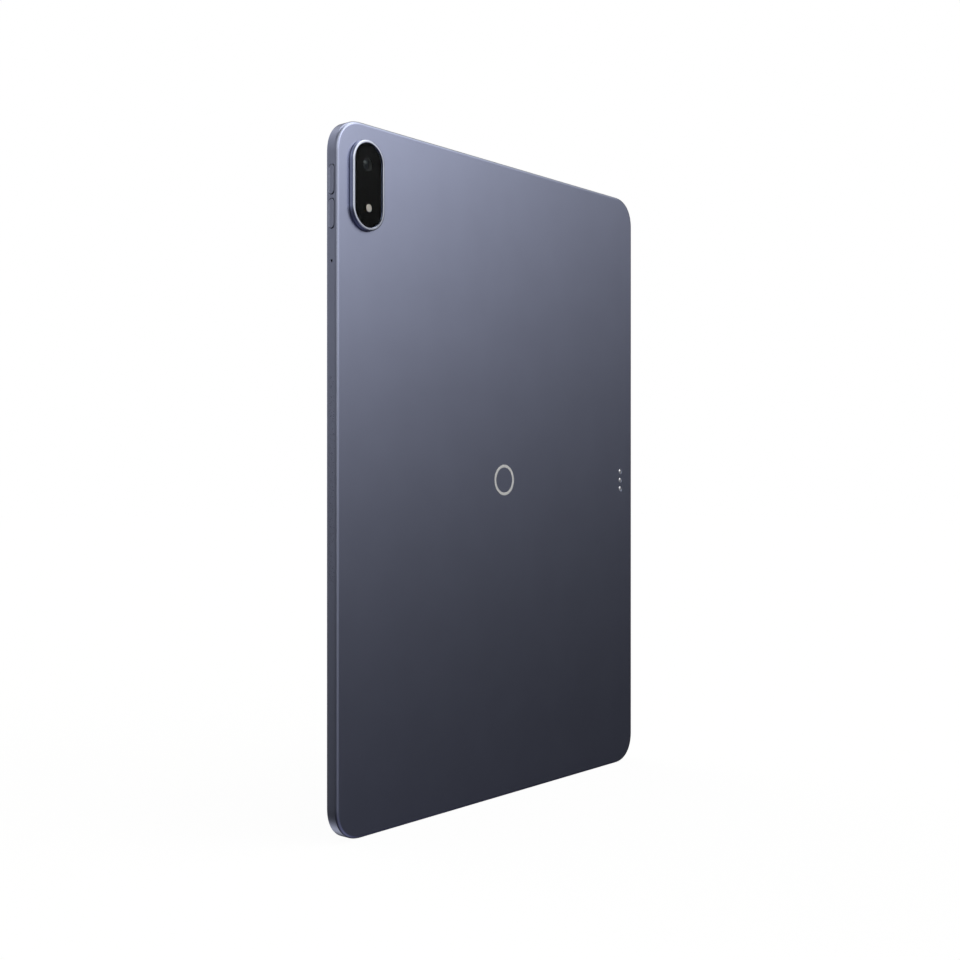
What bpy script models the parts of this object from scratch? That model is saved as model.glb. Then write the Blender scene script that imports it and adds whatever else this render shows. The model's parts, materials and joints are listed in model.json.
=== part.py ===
"""Tablet computer, about 13.2 inches, modelled upright as an assembly of its real pieces.

Run it with: blender --background --python part.py

Frame: +Z up along the long side, the screen faces -Y, the back faces +Y, and the long
side with the volume buttons faces +X. The origin is the middle of the back face, where a
stand holds the tablet. Units in the dimensions are millimetres; meshes are made in metres.

Depths are counted from the outer face of the cover glass towards the back, and heights
from the bottom short edge. `placed_point` moves both to the origin.
"""
import math

import bmesh
import bpy
from mathutils import Matrix, Vector

MM = 0.001

# ---------------------------------------------------------------- driving dimensions
WIDTH = 209.66                # along X
HEIGHT = 289.61               # along Z
THICKNESS = 5.97              # glass face to back face
ISLAND_RISE = 1.95            # camera island above the back face

CORNER_SIZE = 14.3            # how far each corner's curve reaches along a side
CORNER_POWER = 2.3            # superellipse exponent of the corners
CORNER_STEPS = 12
BACK_ROUND = 1.35             # edge round between the side and the back
FRONT_ROUND = 0.18            # edge round between the side and the front lip

LIP_DEPTH = 0.20              # the glass stands this far in front of the metal lip
POCKET_INSET = 0.90           # pocket that holds the cover glass
LEDGE_DEPTH = 1.15
CAVITY_INSET = 2.00           # inner face of the side walls
CAVITY_FLOOR = 5.12           # inner face of the back wall

GLASS_INSET = 1.10
GLASS_THICK = 0.65
GAP = 0.30                    # clearance between neighbouring pieces
FINE_GAP = 0.15               # clearance between stacked layers

LAYER_FRONT = 2.60            # electronics layer behind the display
LAYER_BACK = 4.95

PORT_DEPTH = 3.20             # centre of the charging socket
SIDE_DEPTH = 2.96             # centre of the pieces in the side wall

# Camera island, on the back near the corner of the +X side and the top
ISLAND_WIDTH = 18.4
ISLAND_LENGTH = 37.0
ISLAND_MARGIN = 7.0           # from the +X edge and from the top edge
ISLAND_RIM = 1.25
ISLAND_ROUND = 0.45
LENS_OFFSET = 9.2             # lens and flash from the island's middle, along Z
FLASH_DIAMETER = 4.0

# Buttons
VOLUME_LENGTH = 11.7
VOLUME_GAP = 1.9
VOLUME_TOP = 19.3             # upper volume button's end from the top edge
POWER_LENGTH = 14.0
POWER_FROM_EDGE = 29.0        # middle of the power button from the +X edge
BUTTON_WIDTH = 2.5
BUTTON_PROUD = 0.30
BUTTON_TRAVEL = 0.25
SLOT_CLEARANCE = 0.15

SIDE_MIC_HEIGHT = 232.0
MIC_HOLE = 1.0
STYLUS_WINDOW_LENGTH = 82.8
STYLUS_WINDOW_WIDTH = 3.4

# Contacts for a keyboard, near the -X side
CONTACT_MARGIN = 10.6
CONTACT_PITCH = 4.4
CONTACT_DIAMETER = 2.3

# Socket in the bottom edge
SOCKET_WIDTH = 8.94
SOCKET_HEIGHT = 3.16
SOCKET_WALL = 0.30
SOCKET_INSET = 0.8            # the shell's mouth from the bottom edge's face
SOCKET_END = 7.4              # the shell's inner end from the bottom edge's face

# Sound openings in the short edges
GRILLE_HOLES = 10
GRILLE_PITCH = 2.4
GRILLE_HOLE = 1.3
GRILLE_CENTRE = 53.0

# ---------------------------------------------------------------- worked-out places
FRONT_Y = -THICKNESS                    # the back face is the plane Y = 0
HALF_W = WIDTH / 2
MIDDLE_Z = HEIGHT / 2
ISLAND_X = HALF_W - ISLAND_MARGIN - ISLAND_WIDTH / 2
ISLAND_Z = HEIGHT - ISLAND_MARGIN - ISLAND_LENGTH / 2
LENS_Z = ISLAND_Z + LENS_OFFSET
FLASH_Z = ISLAND_Z - LENS_OFFSET
CONTACT_X = -HALF_W + CONTACT_MARGIN
POWER_X = HALF_W - POWER_FROM_EDGE
VOLUME_UP_Z = HEIGHT - VOLUME_TOP - VOLUME_LENGTH / 2
VOLUME_DOWN_Z = VOLUME_UP_Z - VOLUME_LENGTH - VOLUME_GAP
WALL_X = HALF_W - CAVITY_INSET          # inner face of the +X wall
WALL_TOP = HEIGHT - CAVITY_INSET        # inner face of the top wall

# Layers behind the glass face, from front to back
DISPLAY_EDGE = 7.2            # display module from the body's outline
LCD_DEPTHS = (0.80, 1.35)
BACKLIGHT_DEPTHS = (1.50, 2.20)
GRAPHITE_DEPTHS = (2.35, 2.45)
GASKET_DEPTHS = (0.80, 1.00)
GASKET_INSETS = (1.30, 1.85)

# Camera island in the back face
ISLAND_FOOT = THICKNESS - 0.10          # the island sits in a shallow seat in the back face
ISLAND_TOP = THICKNESS + ISLAND_RISE
COLLAR_WIDTH = ISLAND_WIDTH - 1.8
COLLAR_LENGTH = ISLAND_LENGTH - 1.8
WINDOW_DEPTHS = (7.00, 7.82)
LEDGE_WIDTH = 0.85

# Buttons: flange and nib on the cap, then switch, flex and bracket behind the wall
FLANGE_FACE = GAP                       # flange behind the inner face of the wall
FLANGE_THICK = 0.50
NIB_LENGTH = 0.30
SWITCH_GAP = GAP + BUTTON_TRAVEL
SWITCH_THICK = 0.70
FLEX_THICK = 0.12
BRACKET_THICK = 0.35

# Bottom microphone and the stylus charging parts
BOTTOM_MIC_X = 16.0
STYLUS_COIL_Z = 124.0
STYLUS_MAGNET_ZS = {"stylus_magnet_upper": 172.0, "stylus_magnet_lower": 100.0}

# Main board, battery cells and speakers
BOARD_DEPTHS = (3.90, 4.60)
BOARD_X = 72.0
BOARD_Z = (222.5, 261.0)
BOSS_XS = (-66.0, 66.0)
BOSS_Z = 240.0
BOSS_FACE = 4.80
BOSS_BORE = 5.55
CELL_X = (4.5, 88.0)
CELL_Z = (37.0, 216.0)
SPEAKER_DEPTHS = (LAYER_FRONT, LAYER_BACK)
SPEAKER_EDGE = 2.5            # from the short edge to the speaker boxes
SPEAKER_DEEP = 30.0
SPEAKER_BEVEL = 9.0           # cut corner beside the body's round corner


def depth(value):
    """Y of a plane that lies `value` behind the glass face."""
    return FRONT_Y + value


# ---------------------------------------------------------------- materials
def make_material(name, colour, roughness, metallic=0.0, alpha=1.0):
    material = bpy.data.materials.new(name)
    material.use_nodes = True
    shader = material.node_tree.nodes["Principled BSDF"]
    shader.inputs["Base Color"].default_value = (*colour, 1.0)
    shader.inputs["Roughness"].default_value = roughness
    shader.inputs["Metallic"].default_value = metallic
    shader.inputs["Alpha"].default_value = alpha
    return material


FINISHES = {
    "anodised_aluminium": ((0.30, 0.32, 0.40), 0.32, 1.0),
    "cover_glass": ((0.02, 0.02, 0.025), 0.05, 0.0),
    "black_glass": ((0.01, 0.01, 0.012), 0.06, 0.0),
    "clear_lens": ((0.85, 0.83, 0.74), 0.12, 0.0),
    "display": ((0.015, 0.016, 0.02), 0.25, 0.0),
    "black_plastic": ((0.02, 0.02, 0.022), 0.45, 0.0),
    "tinted_plastic": ((0.27, 0.29, 0.37), 0.40, 0.0),
    "adhesive": ((0.03, 0.03, 0.03), 0.80, 0.0),
    "graphite": ((0.06, 0.06, 0.065), 0.50, 0.3),
    "flex_film": ((0.10, 0.05, 0.02), 0.45, 0.0),
    "circuit_board": ((0.01, 0.05, 0.03), 0.50, 0.0),
    "chip_resin": ((0.02, 0.02, 0.02), 0.55, 0.0),
    "shield_steel": ((0.55, 0.55, 0.56), 0.35, 1.0),
    "battery_foil": ((0.10, 0.10, 0.11), 0.45, 0.6),
    "magnet": ((0.45, 0.45, 0.46), 0.30, 1.0),
    "copper_coil": ((0.60, 0.30, 0.14), 0.35, 1.0),
    "contact_metal": ((0.75, 0.74, 0.72), 0.22, 1.0),
    "led": ((0.90, 0.80, 0.35), 0.40, 0.0),
}


# ---------------------------------------------------------------- outlines
def slab_outline(inset):
    """Body outline in the XZ plane, moved in by `inset`, anticlockwise seen from -Y."""
    reach = CORNER_SIZE - inset
    centre_x = HALF_W - CORNER_SIZE
    centre_z = HEIGHT / 2 - CORNER_SIZE
    power = 2.0 / CORNER_POWER
    points = []
    for quarter in range(4):
        side_x = (1, -1, -1, 1)[quarter]
        side_z = (1, 1, -1, -1)[quarter]
        for step in range(CORNER_STEPS + 1):
            part = step / CORNER_STEPS
            turn = (part if quarter % 2 == 0 else 1 - part) * math.pi / 2
            along_x = reach * math.cos(turn) ** power if turn < math.pi / 2 else 0.0
            along_z = reach * math.sin(turn) ** power
            x = side_x * (centre_x + along_x)
            z = MIDDLE_Z + side_z * (centre_z + along_z)
            points.append((x, z))
    return points


def pill_outline(length_u, length_v, steps=8):
    """Straight slot with round ends about (0, 0); its long side is the longer length."""
    radius = min(length_u, length_v) / 2
    half_run = (max(length_u, length_v) - 2 * radius) / 2
    upright = length_v >= length_u
    points = []
    for end in (1, -1):
        for step in range(steps + 1):
            turn = math.pi * step / steps
            u = end * radius * math.cos(turn)
            v = end * (half_run + radius * math.sin(turn))
            points.append((u, v) if upright else (v, -u))
    return points


def box_outline(width, height):
    return [(width / 2, height / 2), (-width / 2, height / 2),
            (-width / 2, -height / 2), (width / 2, -height / 2)]


def round_outline(diameter, steps):
    angles = [2 * math.pi * (step + 0.5) / steps for step in range(steps)]
    return [(diameter / 2 * math.cos(a), diameter / 2 * math.sin(a)) for a in angles]


def placed(outline, u, v):
    return [(point[0] + u, point[1] + v) for point in outline]


# ---------------------------------------------------------------- solids
AXES = {
    "X": lambda u, v, w: (w, u, v),      # outline in YZ
    "Y": lambda u, v, w: (u, w, v),      # outline in XZ
    "Z": lambda u, v, w: (u, v, w),      # outline in XY
}


def placed_point(point):
    """A point with its height above the bottom edge, in metres from the row's origin."""
    return (Vector(point) - Vector((0.0, 0.0, MIDDLE_Z))) * MM


def loft(rings, axis):
    """Closed solid through rings of equal length; each ring is (outline, level)."""
    mesh = bmesh.new()
    place = AXES[axis]
    loops = []
    for outline, level in rings:
        points = [placed_point(place(u, v, level)) for u, v in outline]
        loops.append([mesh.verts.new(point) for point in points])
    for first, second in zip(loops, loops[1:]):
        count = len(first)
        for i in range(count):
            j = (i + 1) % count
            mesh.faces.new((first[i], first[j], second[j], second[i]))
    mesh.faces.new(loops[0])
    mesh.faces.new(loops[-1])
    bmesh.ops.recalc_face_normals(mesh, faces=mesh.faces)
    return mesh


def prism(outline, start, end, axis):
    return loft([(outline, start), (outline, end)], axis)


def add_object(name, mesh, finish=None, origin=(0.0, 0.0, MIDDLE_Z), smooth=False):
    """Object whose own origin is the point `origin`, with its mesh already in place."""
    place = placed_point(origin)
    bmesh.ops.transform(mesh, matrix=Matrix.Translation(-place), verts=mesh.verts)
    data = bpy.data.meshes.new(name)
    mesh.to_mesh(data)
    mesh.free()
    if smooth:
        data.shade_smooth()
        data.set_sharp_from_angle(angle=math.radians(35))
    thing = bpy.data.objects.new(name, data)
    thing.location = place
    bpy.context.scene.collection.objects.link(thing)
    if finish:
        data.materials.append(MATERIALS[finish])
        thing.parent = ASSEMBLY
    return thing


def box(name, finish, x, y, z):
    """Cuboid between the given limits; `y` is a pair of depths."""
    outline = [(x[1], z[1]), (x[0], z[1]), (x[0], z[0]), (x[1], z[0])]
    return add_object(name, prism(outline, depth(y[0]), depth(y[1]), "Y"), finish)


def disc(name, finish, x, z, diameter, depths, steps=20):
    outline = placed(round_outline(diameter, steps), x, z)
    mesh = prism(outline, depth(depths[0]), depth(depths[1]), "Y")
    return add_object(name, mesh, finish, smooth=True)


def boolean(target, mesh, operation):
    """Combine the target with a hidden solid that stays in the file as a guide."""
    label = f"{target.name}_{operation.lower()}_{len(target.modifiers) + 1:02d}"
    guide = add_object(label, mesh)
    guide.hide_render = True
    guide.display_type = "WIRE"
    step = target.modifiers.new(label, "BOOLEAN")
    step.operation = operation
    step.solver = "EXACT"
    step.object = guide


def cut(target, mesh):
    boolean(target, mesh, "DIFFERENCE")


def join(target, mesh):
    boolean(target, mesh, "UNION")


def combined(meshes):
    """One cutter out of several solids that stay clear of each other."""
    whole = bmesh.new()
    for mesh in meshes:
        data = bpy.data.meshes.new("cutter_part")
        mesh.to_mesh(data)
        mesh.free()
        whole.from_mesh(data)
        bpy.data.meshes.remove(data)
    return whole


# ---------------------------------------------------------------- housing and its holes
def rounded_edge(radius, outer_inset, level, towards, steps):
    """Ring insets and depths of a quarter round that ends at `level`."""
    rings = []
    for step in range(steps + 1):
        turn = math.pi / 2 * step / steps
        inset = outer_inset + radius * (1 - math.cos(turn))
        rings.append((inset, level + towards * radius * (math.sin(turn) - 1)))
    return rings


def housing_solid():
    """Tray with rounded outer edges, a pocket for the glass and a cavity."""
    back = rounded_edge(BACK_ROUND, 0.0, THICKNESS, 1, 4)
    front = rounded_edge(FRONT_ROUND, 0.0, LIP_DEPTH, -1, 2)
    profile = list(reversed(back)) + front
    profile += [(POCKET_INSET, LIP_DEPTH), (POCKET_INSET, LEDGE_DEPTH)]
    profile += [(CAVITY_INSET, LEDGE_DEPTH), (CAVITY_INSET, CAVITY_FLOOR)]
    return loft([(slab_outline(inset), depth(level)) for inset, level in profile], "Y")


def grille_cutters(side, edge_z):
    """Row of round holes through a short wall."""
    first = side * GRILLE_CENTRE - GRILLE_PITCH * (GRILLE_HOLES - 1) / 2
    hole = round_outline(GRILLE_HOLE, 8)
    span = (edge_z - CAVITY_INSET - 0.5, edge_z + CAVITY_INSET + 0.5)
    holes = []
    for index in range(GRILLE_HOLES):
        outline = placed(hole, first + index * GRILLE_PITCH, depth(SIDE_DEPTH))
        holes.append(prism(outline, span[0], span[1], "Z"))
    return holes


def make_housing():
    housing = add_object("rear_housing", housing_solid(), "anodised_aluminium", smooth=True)
    slot = pill_outline(BUTTON_WIDTH + 2 * SLOT_CLEARANCE, VOLUME_LENGTH + 2 * SLOT_CLEARANCE)
    through_x = (WALL_X - 0.5, HALF_W + 0.5)
    side = []
    for height in (VOLUME_UP_Z, VOLUME_DOWN_Z):
        side.append(prism(placed(slot, depth(SIDE_DEPTH), height), *through_x, "X"))
    window = pill_outline(STYLUS_WINDOW_WIDTH, STYLUS_WINDOW_LENGTH, 10)
    side.append(prism(placed(window, depth(SIDE_DEPTH), MIDDLE_Z), *through_x, "X"))
    mic = placed(round_outline(MIC_HOLE, 8), depth(SIDE_DEPTH), SIDE_MIC_HEIGHT)
    side.append(prism(mic, *through_x, "X"))
    cut(housing, combined(side))

    power = pill_outline(POWER_LENGTH + 2 * SLOT_CLEARANCE, BUTTON_WIDTH + 2 * SLOT_CLEARANCE)
    top = grille_cutters(1, HEIGHT) + grille_cutters(-1, HEIGHT)
    power = placed(power, POWER_X, depth(SIDE_DEPTH))
    top.append(prism(power, WALL_TOP - 0.5, HEIGHT + 0.5, "Z"))
    cut(housing, combined(top))

    socket = pill_outline(SOCKET_WIDTH + 2 * FINE_GAP, SOCKET_HEIGHT + 2 * FINE_GAP)
    bottom = grille_cutters(1, 0.0) + grille_cutters(-1, 0.0)
    bottom.append(prism(placed(socket, 0.0, depth(PORT_DEPTH)), -0.5, CAVITY_INSET + 0.5, "Z"))
    mic = placed(round_outline(MIC_HOLE, 8), BOTTOM_MIC_X, depth(SIDE_DEPTH))
    bottom.append(prism(mic, -0.5, CAVITY_INSET + 0.5, "Z"))
    cut(housing, combined(bottom))

    collar = pill_outline(COLLAR_WIDTH + 2 * FINE_GAP, COLLAR_LENGTH + 2 * FINE_GAP, 10)
    through_y = (depth(CAVITY_FLOOR - 0.5), depth(THICKNESS + 0.5))
    back = [prism(placed(collar, ISLAND_X, ISLAND_Z), *through_y, "Y")]
    contact = round_outline(CONTACT_DIAMETER + 2 * FINE_GAP, 16)
    for height in contact_heights():
        back.append(prism(placed(contact, CONTACT_X, height), *through_y, "Y"))
    cut(housing, combined(back))
    seat = placed(pill_outline(ISLAND_WIDTH + 2 * FINE_GAP, ISLAND_LENGTH + 2 * FINE_GAP, 12),
                  ISLAND_X, ISLAND_Z)
    cut(housing, prism(seat, depth(ISLAND_FOOT - FINE_GAP), depth(THICKNESS + 0.5), "Y"))

    bosses = []
    for x in BOSS_XS:
        outline = placed(round_outline(4.0, 12), x, BOSS_Z)
        bosses.append(prism(outline, depth(BOSS_FACE), depth(CAVITY_FLOOR + 0.3), "Y"))
    join(housing, combined(bosses))
    threads = []
    for x in BOSS_XS:
        outline = placed(round_outline(1.6, 8), x, BOSS_Z)
        threads.append(prism(outline, depth(BOSS_FACE - 0.5), depth(BOSS_BORE), "Y"))
    cut(housing, combined(threads))


def contact_heights():
    return [MIDDLE_Z + step * CONTACT_PITCH for step in (1, 0, -1)]


# ---------------------------------------------------------------- display
def make_display():
    glass = [(slab_outline(GLASS_INSET + 0.25), depth(0.0)),
             (slab_outline(GLASS_INSET), depth(0.25)),
             (slab_outline(GLASS_INSET), depth(GLASS_THICK))]
    add_object("cover_glass", loft(glass, "Y"), "cover_glass", smooth=True)

    gasket = prism(slab_outline(GASKET_INSETS[0]), *map(depth, GASKET_DEPTHS), "Y")
    gasket = add_object("display_gasket", gasket, "adhesive")
    inner = slab_outline(GASKET_INSETS[1])
    cut(gasket, prism(inner, depth(GASKET_DEPTHS[0] - 0.5), depth(GASKET_DEPTHS[1] + 0.5), "Y"))

    x = (-HALF_W + DISPLAY_EDGE, HALF_W - DISPLAY_EDGE)
    z = (DISPLAY_EDGE, HEIGHT - DISPLAY_EDGE)
    box("lcd_panel", "display", x, LCD_DEPTHS, z)
    backlight = box("backlight_unit", "black_plastic", x, BACKLIGHT_DEPTHS, z)
    notch = placed(box_outline(SOCKET_WIDTH + 3.0, 4.0), 0.0, DISPLAY_EDGE - 1.2)
    cut(backlight, prism(notch, depth(BACKLIGHT_DEPTHS[0] - 0.5),
                         depth(BACKLIGHT_DEPTHS[1] + 0.5), "Y"))
    box("graphite_sheet", "graphite", (-94.0, 94.0), GRAPHITE_DEPTHS, (10.0, 280.0))


def ribbon(name, path, thickness, across, axis, finish="flex_film"):
    """Thin strip that follows `path` in the plane across `axis`, with square corners."""
    left = []
    right = []
    for index, (u, v) in enumerate(path):
        before = path[max(index - 1, 0)]
        after = path[min(index + 1, len(path) - 1)]
        first = Vector((u - before[0], v - before[1]))
        second = Vector((after[0] - u, after[1] - v))
        first = (first if first.length else second).normalized()
        second = (second if second.length else first).normalized()
        side = (Vector((-first.y, first.x)) + Vector((-second.y, second.x))).normalized()
        reach = thickness / 2 / max(side.dot(Vector((-first.y, first.x))), 0.3)
        left.append((u + side.x * reach, v + side.y * reach))
        right.append((u - side.x * reach, v - side.y * reach))
    outline = left + right[::-1]
    return add_object(name, prism(outline, across[0], across[1], axis), finish)


def make_display_flex():
    """Ribbon that wraps over the display's top edge and runs down to the main board."""
    top = HEIGHT - DISPLAY_EDGE
    path = [(depth(1.05), top + 0.35), (depth(1.05), top + 2.2), (depth(1.4), top + 2.9),
            (depth(2.6), top + 2.9), (depth(2.9), top + 2.2), (depth(2.9), 264.0)]
    ribbon("display_flex", path, 0.15, (-14.0, 14.0), "X")


# ---------------------------------------------------------------- camera island
def island_pill(inset, steps=12):
    outline = pill_outline(ISLAND_WIDTH - 2 * inset, ISLAND_LENGTH - 2 * inset, steps)
    return placed(outline, ISLAND_X, ISLAND_Z)


def make_camera_ring():
    """Rim of the island with a collar in the back wall and a ledge under the window."""
    collar_inset = (ISLAND_WIDTH - COLLAR_WIDTH) / 2
    rings = [(collar_inset, CAVITY_FLOOR), (collar_inset, ISLAND_FOOT), (0.0, ISLAND_FOOT)]
    steps = 3
    for step in range(steps + 1):
        turn = math.pi / 2 * step / steps
        inset = ISLAND_ROUND * (1 - math.cos(turn))
        rings.append((inset, ISLAND_TOP - ISLAND_ROUND * (1 - math.sin(turn))))
    rings.append((ISLAND_RIM, ISLAND_TOP))
    rings.append((ISLAND_RIM, WINDOW_DEPTHS[0] - 0.12))
    rings.append((ISLAND_RIM + LEDGE_WIDTH, WINDOW_DEPTHS[0] - 0.12))
    outer = [(island_pill(inset), depth(level)) for inset, level in rings]
    ring = add_object("camera_ring", loft(outer, "Y"), "anodised_aluminium", smooth=True)
    opening = island_pill(ISLAND_RIM + LEDGE_WIDTH)
    cut(ring, prism(opening, depth(CAVITY_FLOOR - 0.5), depth(ISLAND_TOP + 0.5), "Y"))


def make_camera_window():
    mesh = prism(island_pill(ISLAND_RIM + FINE_GAP), *map(depth, WINDOW_DEPTHS), "Y")
    window = add_object("camera_window", mesh, "black_glass", smooth=True)
    hole = placed(round_outline(FLASH_DIAMETER + 2 * FINE_GAP, 20), ISLAND_X, FLASH_Z)
    cut(window, prism(hole, depth(WINDOW_DEPTHS[0] - 0.5), depth(WINDOW_DEPTHS[1] + 0.5), "Y"))


def make_rear_camera():
    """Module with a square base, a round tower with a bore, and the lens that focuses."""
    base = placed(box_outline(11.0, 11.0), ISLAND_X, LENS_Z - 0.5)
    body = prism(base, depth(LAYER_FRONT), depth(LAYER_BACK), "Y")
    body = add_object("rear_camera_body", body, "black_plastic", smooth=True)
    tower = placed(round_outline(9.4, 24), ISLAND_X, LENS_Z - 0.5)
    join(body, prism(tower, depth(LAYER_BACK - 0.5), depth(6.5), "Y"))
    bore = placed(round_outline(7.0, 24), ISLAND_X, LENS_Z - 0.5)
    cut(body, prism(bore, depth(3.3), depth(7.0), "Y"))

    lens = placed(round_outline(6.3, 24), ISLAND_X, LENS_Z - 0.5)
    lens = prism(lens, depth(3.6), depth(6.2), "Y")
    middle = (ISLAND_X, depth(4.9), LENS_Z - 0.5)
    add_object("rear_camera_lens", lens, "black_glass", origin=middle, smooth=True)

    led = placed(box_outline(2.6, 2.6), ISLAND_X, FLASH_Z)
    add_object("flash_led", prism(led, depth(6.2), depth(6.85), "Y"), "led")
    disc("flash_lens", "clear_lens", ISLAND_X, FLASH_Z, FLASH_DIAMETER, (7.0, 7.80), 20)

    disc("flash_board", "circuit_board", ISLAND_X, FLASH_Z, 11.0, (5.4, 6.0), 16)
    box("camera_flex", "flex_film", (74.0, 82.5), (4.30, 4.45), (256.0, 276.0))


# ---------------------------------------------------------------- buttons
def button_rings(length, wall, outer):
    """Outline sizes and levels of a button, from its cap to the nib behind its flange."""
    cap = (BUTTON_WIDTH, length)
    flange = (BUTTON_WIDTH + 0.9, length + 1.6)
    nib = (1.2, 2.6)
    back = wall - FLANGE_FACE - FLANGE_THICK
    return [((cap[0] - 0.5, cap[1] - 0.5), outer + BUTTON_PROUD),
            ((cap[0] - 0.15, cap[1] - 0.15), outer + BUTTON_PROUD - 0.07),
            (cap, outer + BUTTON_PROUD - 0.25), (cap, wall - FLANGE_FACE),
            (flange, wall - FLANGE_FACE), (flange, back), (nib, back), (nib, back - NIB_LENGTH)]


def stack_levels(wall):
    """Levels, going inwards, of the switch, its flex and the bracket behind a button."""
    switch = wall - FLANGE_FACE - FLANGE_THICK - NIB_LENGTH - SWITCH_GAP
    flex = switch - SWITCH_THICK - FINE_GAP
    bracket = flex - FLEX_THICK - FINE_GAP
    return switch, flex, bracket


def make_volume_buttons():
    switch, flex, bracket = stack_levels(WALL_X)
    names = (("volume_up", VOLUME_UP_Z), ("volume_down", VOLUME_DOWN_Z))
    for name, height in names:
        rings = []
        for (width, length), level in button_rings(VOLUME_LENGTH, WALL_X, HALF_W):
            rings.append((placed(pill_outline(width, length), depth(SIDE_DEPTH), height), level))
        place = (HALF_W, depth(SIDE_DEPTH), height)
        add_object(f"{name}_button", loft(rings, "X"), "anodised_aluminium", place, True)
        pad = placed(box_outline(2.4, 4.0), depth(SIDE_DEPTH), height)
        add_object(f"{name}_switch", prism(pad, switch - SWITCH_THICK, switch, "X"), "chip_resin")
    middle = (VOLUME_UP_Z + VOLUME_DOWN_Z) / 2
    strip = placed(box_outline(2.4, 20.0), depth(SIDE_DEPTH), middle)
    add_object("volume_flex", prism(strip, flex - FLEX_THICK, flex, "X"), "flex_film")
    plate = placed(box_outline(2.8, 26.0), depth(SIDE_DEPTH), middle)
    add_object("volume_bracket", prism(plate, bracket - BRACKET_THICK, bracket, "X"), "shield_steel")


def make_power_button():
    switch, flex, bracket = stack_levels(WALL_TOP)
    rings = []
    for (width, length), level in button_rings(POWER_LENGTH, WALL_TOP, HEIGHT):
        rings.append((placed(pill_outline(length, width), POWER_X, depth(SIDE_DEPTH)), level))
    place = (POWER_X, depth(SIDE_DEPTH), HEIGHT)
    add_object("power_button", loft(rings, "Z"), "anodised_aluminium", place, True)
    pad = placed(box_outline(4.0, 2.4), POWER_X, depth(SIDE_DEPTH))
    add_object("power_switch", prism(pad, switch - SWITCH_THICK, switch, "Z"), "chip_resin")
    strip = placed(box_outline(12.0, 2.4), POWER_X, depth(SIDE_DEPTH))
    add_object("power_flex", prism(strip, flex - FLEX_THICK, flex, "Z"), "flex_film")
    plate = placed(box_outline(15.0, 2.8), POWER_X, depth(SIDE_DEPTH))
    add_object("power_bracket", prism(plate, bracket - BRACKET_THICK, bracket, "Z"), "shield_steel")


# ---------------------------------------------------------------- side and bottom pieces
def make_stylus_parts():
    """Radio-clear window in the side wall, with the charging coil and magnets behind."""
    outline = pill_outline(STYLUS_WINDOW_WIDTH - 2 * FINE_GAP,
                           STYLUS_WINDOW_LENGTH - 2 * FINE_GAP, 10)
    outline = placed(outline, depth(SIDE_DEPTH), MIDDLE_Z)
    window = prism(outline, WALL_X + 0.1, HALF_W - 0.03, "X")
    add_object("stylus_window", window, "tinted_plastic")

    coil = placed(pill_outline(2.2, 24.0), depth(3.75), STYLUS_COIL_Z)
    coil = add_object("stylus_coil", prism(coil, 99.4, 102.3, "X"), "copper_coil", smooth=True)
    core = placed(pill_outline(0.9, 21.0), depth(3.75), STYLUS_COIL_Z)
    cut(coil, prism(core, 99.0, 103.0, "X"))
    for name, height in STYLUS_MAGNET_ZS.items():
        box(name, "magnet", (99.4, 102.3), (LAYER_FRONT, LAYER_BACK), (height - 9, height + 9))


def make_sensors():
    edge = HALF_W - DISPLAY_EDGE + GAP
    box("front_camera", "black_plastic", (edge, 102.4), (0.80, 4.20), (142.4, 147.2))
    box("light_sensor", "black_plastic", (edge + 1.0, 101.0), (0.80, 1.70), (156.0, 159.0))
    box("side_microphone", "contact_metal", (100.3, WALL_X - GAP), (2.1, 3.8),
        (SIDE_MIC_HEIGHT - 2.0, SIDE_MIC_HEIGHT + 2.0))
    box("bottom_microphone", "contact_metal", (BOTTOM_MIC_X - 2.0, BOTTOM_MIC_X + 2.0),
        (2.6, 3.9), (CAVITY_INSET + GAP, 5.4))


def make_socket():
    """Charging and data socket: drawn shell, closed at its inner end, with a tongue."""
    middle = depth(PORT_DEPTH)
    outer = placed(pill_outline(SOCKET_WIDTH, SOCKET_HEIGHT), 0.0, middle)
    shell = prism(outer, SOCKET_INSET, SOCKET_END, "Z")
    shell = add_object("socket_shell", shell, "shield_steel", smooth=True)
    inner = pill_outline(SOCKET_WIDTH - 2 * SOCKET_WALL, SOCKET_HEIGHT - 2 * SOCKET_WALL)
    cut(shell, prism(placed(inner, 0.0, middle), -1.0, SOCKET_END - SOCKET_WALL, "Z"))
    tongue = placed(box_outline(6.6, 0.7), 0.0, middle)
    tongue = prism(tongue, SOCKET_INSET + 0.8, SOCKET_END - SOCKET_WALL - FINE_GAP, "Z")
    add_object("socket_tongue", tongue, "black_plastic")


def make_keyboard_contacts():
    """Three sprung contacts in a carrier, with a magnet above and below them."""
    names = ("contact_upper", "contact_middle", "contact_lower")
    for name, height in zip(names, contact_heights()):
        disc(name, "contact_metal", CONTACT_X, height, CONTACT_DIAMETER, (5.0, 5.90), 16)
    span = CONTACT_PITCH + 3.2
    box("contact_carrier", "black_plastic", (CONTACT_X - 3.4, CONTACT_X + 3.4), (3.4, 4.85),
        (MIDDLE_Z - span, MIDDLE_Z + span))
    for name, side in (("keyboard_magnet_upper", 1), ("keyboard_magnet_lower", -1)):
        middle = MIDDLE_Z + side * 32.0
        box(name, "magnet", (CONTACT_X - 4.0, CONTACT_X + 4.0), (3.2, LAYER_BACK),
            (middle - 16.0, middle + 16.0))


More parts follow.
